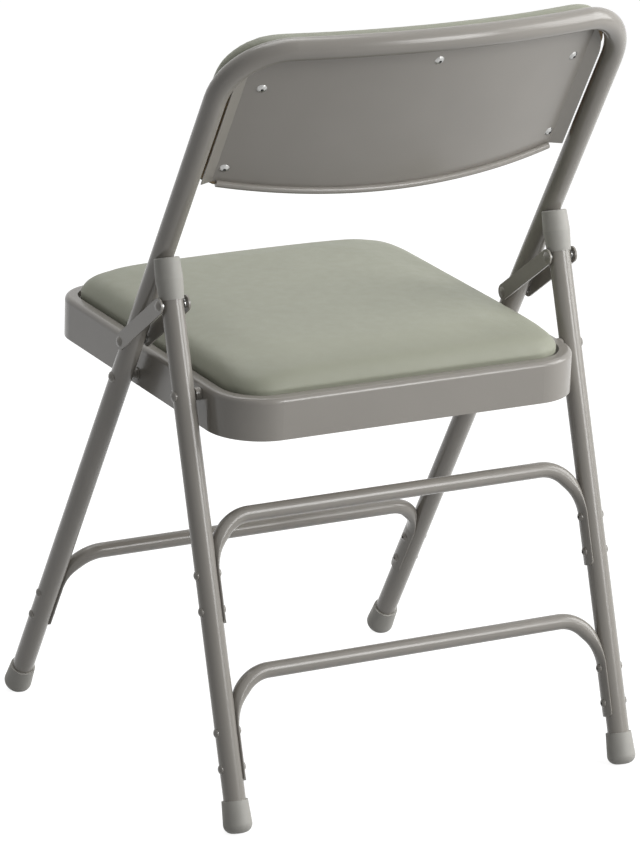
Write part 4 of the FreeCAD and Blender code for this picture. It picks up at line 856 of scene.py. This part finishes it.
class CHAIR_OT_rivet_stems(bpy.types.Operator):
    """Makes the broken-off stems that stay in the back's blind rivets, coloured near-black as painted shade of the
    rivets' hollow centres
    """
    bl_idname = "chair.rivet_stems"
    bl_label = "Rivet stems"

    # The stems are real steel parts; their near-black colour is painted shade of the rivets' hollow centres.
    DARK_STEEL = (0.07, 0.07, 0.068)
    LENGTH = 0.0015            # of a stem

    def execute(self, context):
        wanted = context.scene.chair_staples
        # Near-black stem finish: painted shade in the rivets' hollows, not the steel's own colour.
        steel = finish_named("dark_steel", zinc_plate, self.DARK_STEEL)
        centre, _ = bow_of_back()
        places, headings = [], []
        for island in islands("backrest_rivets", BACK_BASIS):
            x, z = (self.middle([point[axis] for point in island]) for axis in (0, 2))
            y = max(point.y for point in island)
            heading = Vector((x, y - centre, 0)).normalized()
            places.append(Vector((x, y, z)) - heading * wanted.stem_depth)
            headings.append(heading)
        mesh = bpy.data.meshes.new("stem_places")
        mesh.from_pydata(places, [], [])
        layer = mesh.attributes.new("heading", "FLOAT_VECTOR", "POINT")
        layer.data.foreach_set("vector", [value for heading in headings for value in heading])
        stems = new_piece("rivet_stems", mesh, steel)
        grow(stems, stem_set(steel), {"Radius": wanted.stem / 2, "Length": self.LENGTH})
        stems.data.transform(BACK_BASIS)
        smooth(stems)
        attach(stems, "front_frame")
        return {"FINISHED"}

    def middle(self, values):
        return (min(values) + max(values)) / 2


class CHAIR_OT_back_pad(bpy.types.Operator):
    """Makes the vinyl back cushion, swollen in front of its board"""
    bl_idname = "chair.back_pad"
    bl_label = "Back cushion"

    HELD, FREE = 0.006, 0.010  # depths from the rear face between which the cover comes free
    RELAXING = 4               # rounds
    REAR_MARGIN = 0.0015       # cover in front of the board's rear face

    def execute(self, context):
        pads = context.scene.chair_pads
        vinyl = finish_named("sage_vinyl", grained_vinyl, context.scene.chair_finish.vinyl)
        centre, rear_radius = bow_of_back()
        pad = joined(merged_copy("backrest_cushion", "back_pad", vinyl),
                     merged_copy("backrest_board", "core", vinyl))
        remesh(pad, pads.voxel)
        back = BACK_BASIS.inverted()

        def fastened(point):
            here = back @ point
            depth = rear_radius - math.hypot(here.x, here.y - centre)
            return 1 - bell(depth, self.HELD, self.FREE)

        inflate(pad, fastened, pads.back_swell, pads.pressure)
        relax(pad, self.RELAXING)
        subdivide(pad)
        limit = rear_radius - self.REAR_MARGIN
        move_points(pad, BACK_BASIS, lambda point: self.in_front(point, centre, limit))
        smooth(pad)
        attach(pad, "front_frame")
        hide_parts("backrest_cushion")
        return {"FINISHED"}

    def in_front(self, point, centre, limit):
        """Keeps a point in front of the board's rear face."""
        reach = math.hypot(point.x, point.y - centre)
        if reach > limit:
            point.x *= limit / reach
            point.y = centre + (point.y - centre) * limit / reach
        return point


class CHAIR_OT_stage(bpy.types.Operator):
    """Sets up the floor, the even white background, the lamps and the camera"""
    bl_idname = "chair.stage"
    bl_label = "Stage"

    FLOOR_SIZE, FLOOR_GREY = 40, 0.32
    FLOOR_LIFT = 0.91          # brings the floor to white where it is seen directly
    LAMP_AIM = Vector((0, 0, 0.4))
    LAMPS = {                  # direction, distance, width and height
        "key": ((-0.90, 0.42, 0.40), 2.8, (1.8, 1.8)),
        "strip": ((-0.42, 0.90, 0.33), 2.8, (0.8, 1.4)),
        "top": ((0.00, -0.30, 1.00), 2.4, (1.5, 1.5)),
    }
    SENSOR = 36                # width in mm
    SHIFT = (0.0002, -0.0013)  # of the picture, as shares of its longer side

    def execute(self, context):
        stage = context.scene.chair_stage
        context.scene.view_settings.view_transform = "Standard"
        self.add_floor()
        self.light_world(context.scene, stage.sky)
        for name, (direction, distance, size) in self.LAMPS.items():
            self.add_lamp(name + "_lamp", direction, distance, size, getattr(stage, name))
        self.add_camera(context.scene, stage)
        return {"FINISHED"}

    def add_floor(self):
        """Floor that takes shadows and is white to the camera."""
        bpy.ops.mesh.primitive_plane_add(size=self.FLOOR_SIZE, location=(0, 0, 0))
        floor = bpy.context.object
        floor.name = "studio_floor"
        material = bpy.data.materials.new("white_floor")
        material.use_nodes = True
        tree = material.node_tree
        tree.nodes.clear()
        out = tree.nodes.new("ShaderNodeOutputMaterial")
        matt = tree.nodes.new("ShaderNodeBsdfDiffuse")
        matt.inputs["Color"].default_value = (*[self.FLOOR_GREY] * 3, 1)
        lift = tree.nodes.new("ShaderNodeEmission")
        both = tree.nodes.new("ShaderNodeAddShader")
        strength = self.seen_directly(tree, self.FLOOR_LIFT, 0.0)
        tree.links.new(strength, lift.inputs["Strength"])
        tree.links.new(matt.outputs[0], both.inputs[0])
        tree.links.new(lift.outputs[0], both.inputs[1])
        tree.links.new(both.outputs[0], out.inputs["Surface"])
        floor.data.materials.append(material)

    def seen_directly(self, tree, seen, unseen):
        """A strength for camera, glossy and transmission rays, and another for the rest."""
        path = tree.nodes.new("ShaderNodeLightPath")
        first = tree.nodes.new("ShaderNodeMath")
        first.operation = "MAXIMUM"
        tree.links.new(path.outputs["Is Camera Ray"], first.inputs[0])
        tree.links.new(path.outputs["Is Glossy Ray"], first.inputs[1])
        second = tree.nodes.new("ShaderNodeMath")
        second.operation = "MAXIMUM"
        tree.links.new(first.outputs[0], second.inputs[0])
        tree.links.new(path.outputs["Is Transmission Ray"], second.inputs[1])
        level = tree.nodes.new("ShaderNodeMapRange")
        level.inputs["To Min"].default_value = unseen
        level.inputs["To Max"].default_value = seen
        tree.links.new(second.outputs[0], level.inputs["Value"])
        return level.outputs["Result"]

    def light_world(self, scene, strength):
        """White where it is seen directly, and an even light of a given strength."""
        world = bpy.data.worlds.new("even_light")
        scene.world = world
        world.use_nodes = True
        tree = world.node_tree
        sky = tree.nodes["Background"]
        sky.inputs["Color"].default_value = (1, 1, 1, 1)
        tree.links.new(self.seen_directly(tree, 1.0, strength), sky.inputs["Strength"])

    def add_lamp(self, name, direction, distance, size, power):
        """A rectangular lamp that faces the chair."""
        data = bpy.data.lights.new(name, "AREA")
        data.shape = "RECTANGLE"
        data.size, data.size_y = size
        data.energy = power
        lamp = bpy.data.objects.new(name, data)
        bpy.context.scene.collection.objects.link(lamp)
        heading = Vector(direction).normalized()
        lamp.location = self.LAMP_AIM + heading * distance
        lamp.rotation_euler = heading.to_track_quat("Z", "Y").to_euler()

    def add_camera(self, scene, stage):
        """A camera that looks at the target from the chosen side."""
        camera = bpy.data.objects.new("camera", bpy.data.cameras.new("camera"))
        scene.collection.objects.link(camera)
        turn, rise = stage.azimuth, stage.elevation
        away = Vector((math.sin(turn) * math.cos(rise), -math.cos(turn) * math.cos(rise),
                       math.sin(rise)))
        target = Vector((0, stage.target_rear, stage.target_height))
        camera.location = target + away * stage.distance
        camera.rotation_euler = away.to_track_quat("Z", "Y").to_euler()
        camera.data.sensor_width = self.SENSOR
        camera.data.lens = stage.lens
        camera.data.shift_x, camera.data.shift_y = self.SHIFT
        camera.data.clip_end = 100
        scene.camera = camera


class CHAIR_PT_panel(bpy.types.Panel):
    """Lists the chair's pieces and settings"""
    bl_label = "Folding chair"
    bl_idname = "CHAIR_PT_panel"
    bl_space_type = "VIEW_3D"
    bl_region_type = "UI"
    bl_category = "Chair"

    def draw(self, context):
        for operator in OPERATORS:
            self.layout.operator(operator.bl_idname)
        for key, group in SETTINGS.items():
            box = self.layout.box()
            for name in group.__annotations__:
                box.prop(getattr(context.scene, key), name)


OPERATORS = (CHAIR_OT_finishes, CHAIR_OT_seat_pad, CHAIR_OT_seat_hem, CHAIR_OT_staples,
             CHAIR_OT_back_pad, CHAIR_OT_rivet_stems, CHAIR_OT_stage)
CLASSES = (*SETTINGS.values(), *OPERATORS, CHAIR_PT_panel)


def register():
    for item in CLASSES:
        bpy.utils.register_class(item)
    for key, group in SETTINGS.items():
        setattr(bpy.types.Scene, key, bpy.props.PointerProperty(type=group))


def unregister():
    for key in SETTINGS:
        delattr(bpy.types.Scene, key)
    for item in reversed(CLASSES):
        bpy.utils.unregister_class(item)


def corners(box):
    """A box's two corners as plain numbers."""
    return [[float(value) for value in corner] for corner in box]


def main():
    """Builds the looks."""
    register()
    bpy.ops.chair.finishes()
    bpy.ops.chair.seat_pad()
    bpy.ops.chair.seat_hem()
    bpy.ops.chair.staples()
    bpy.ops.chair.back_pad()
    bpy.ops.chair.rivet_stems()
    bpy.ops.chair.stage()


if __name__ == "__main__":
    main()
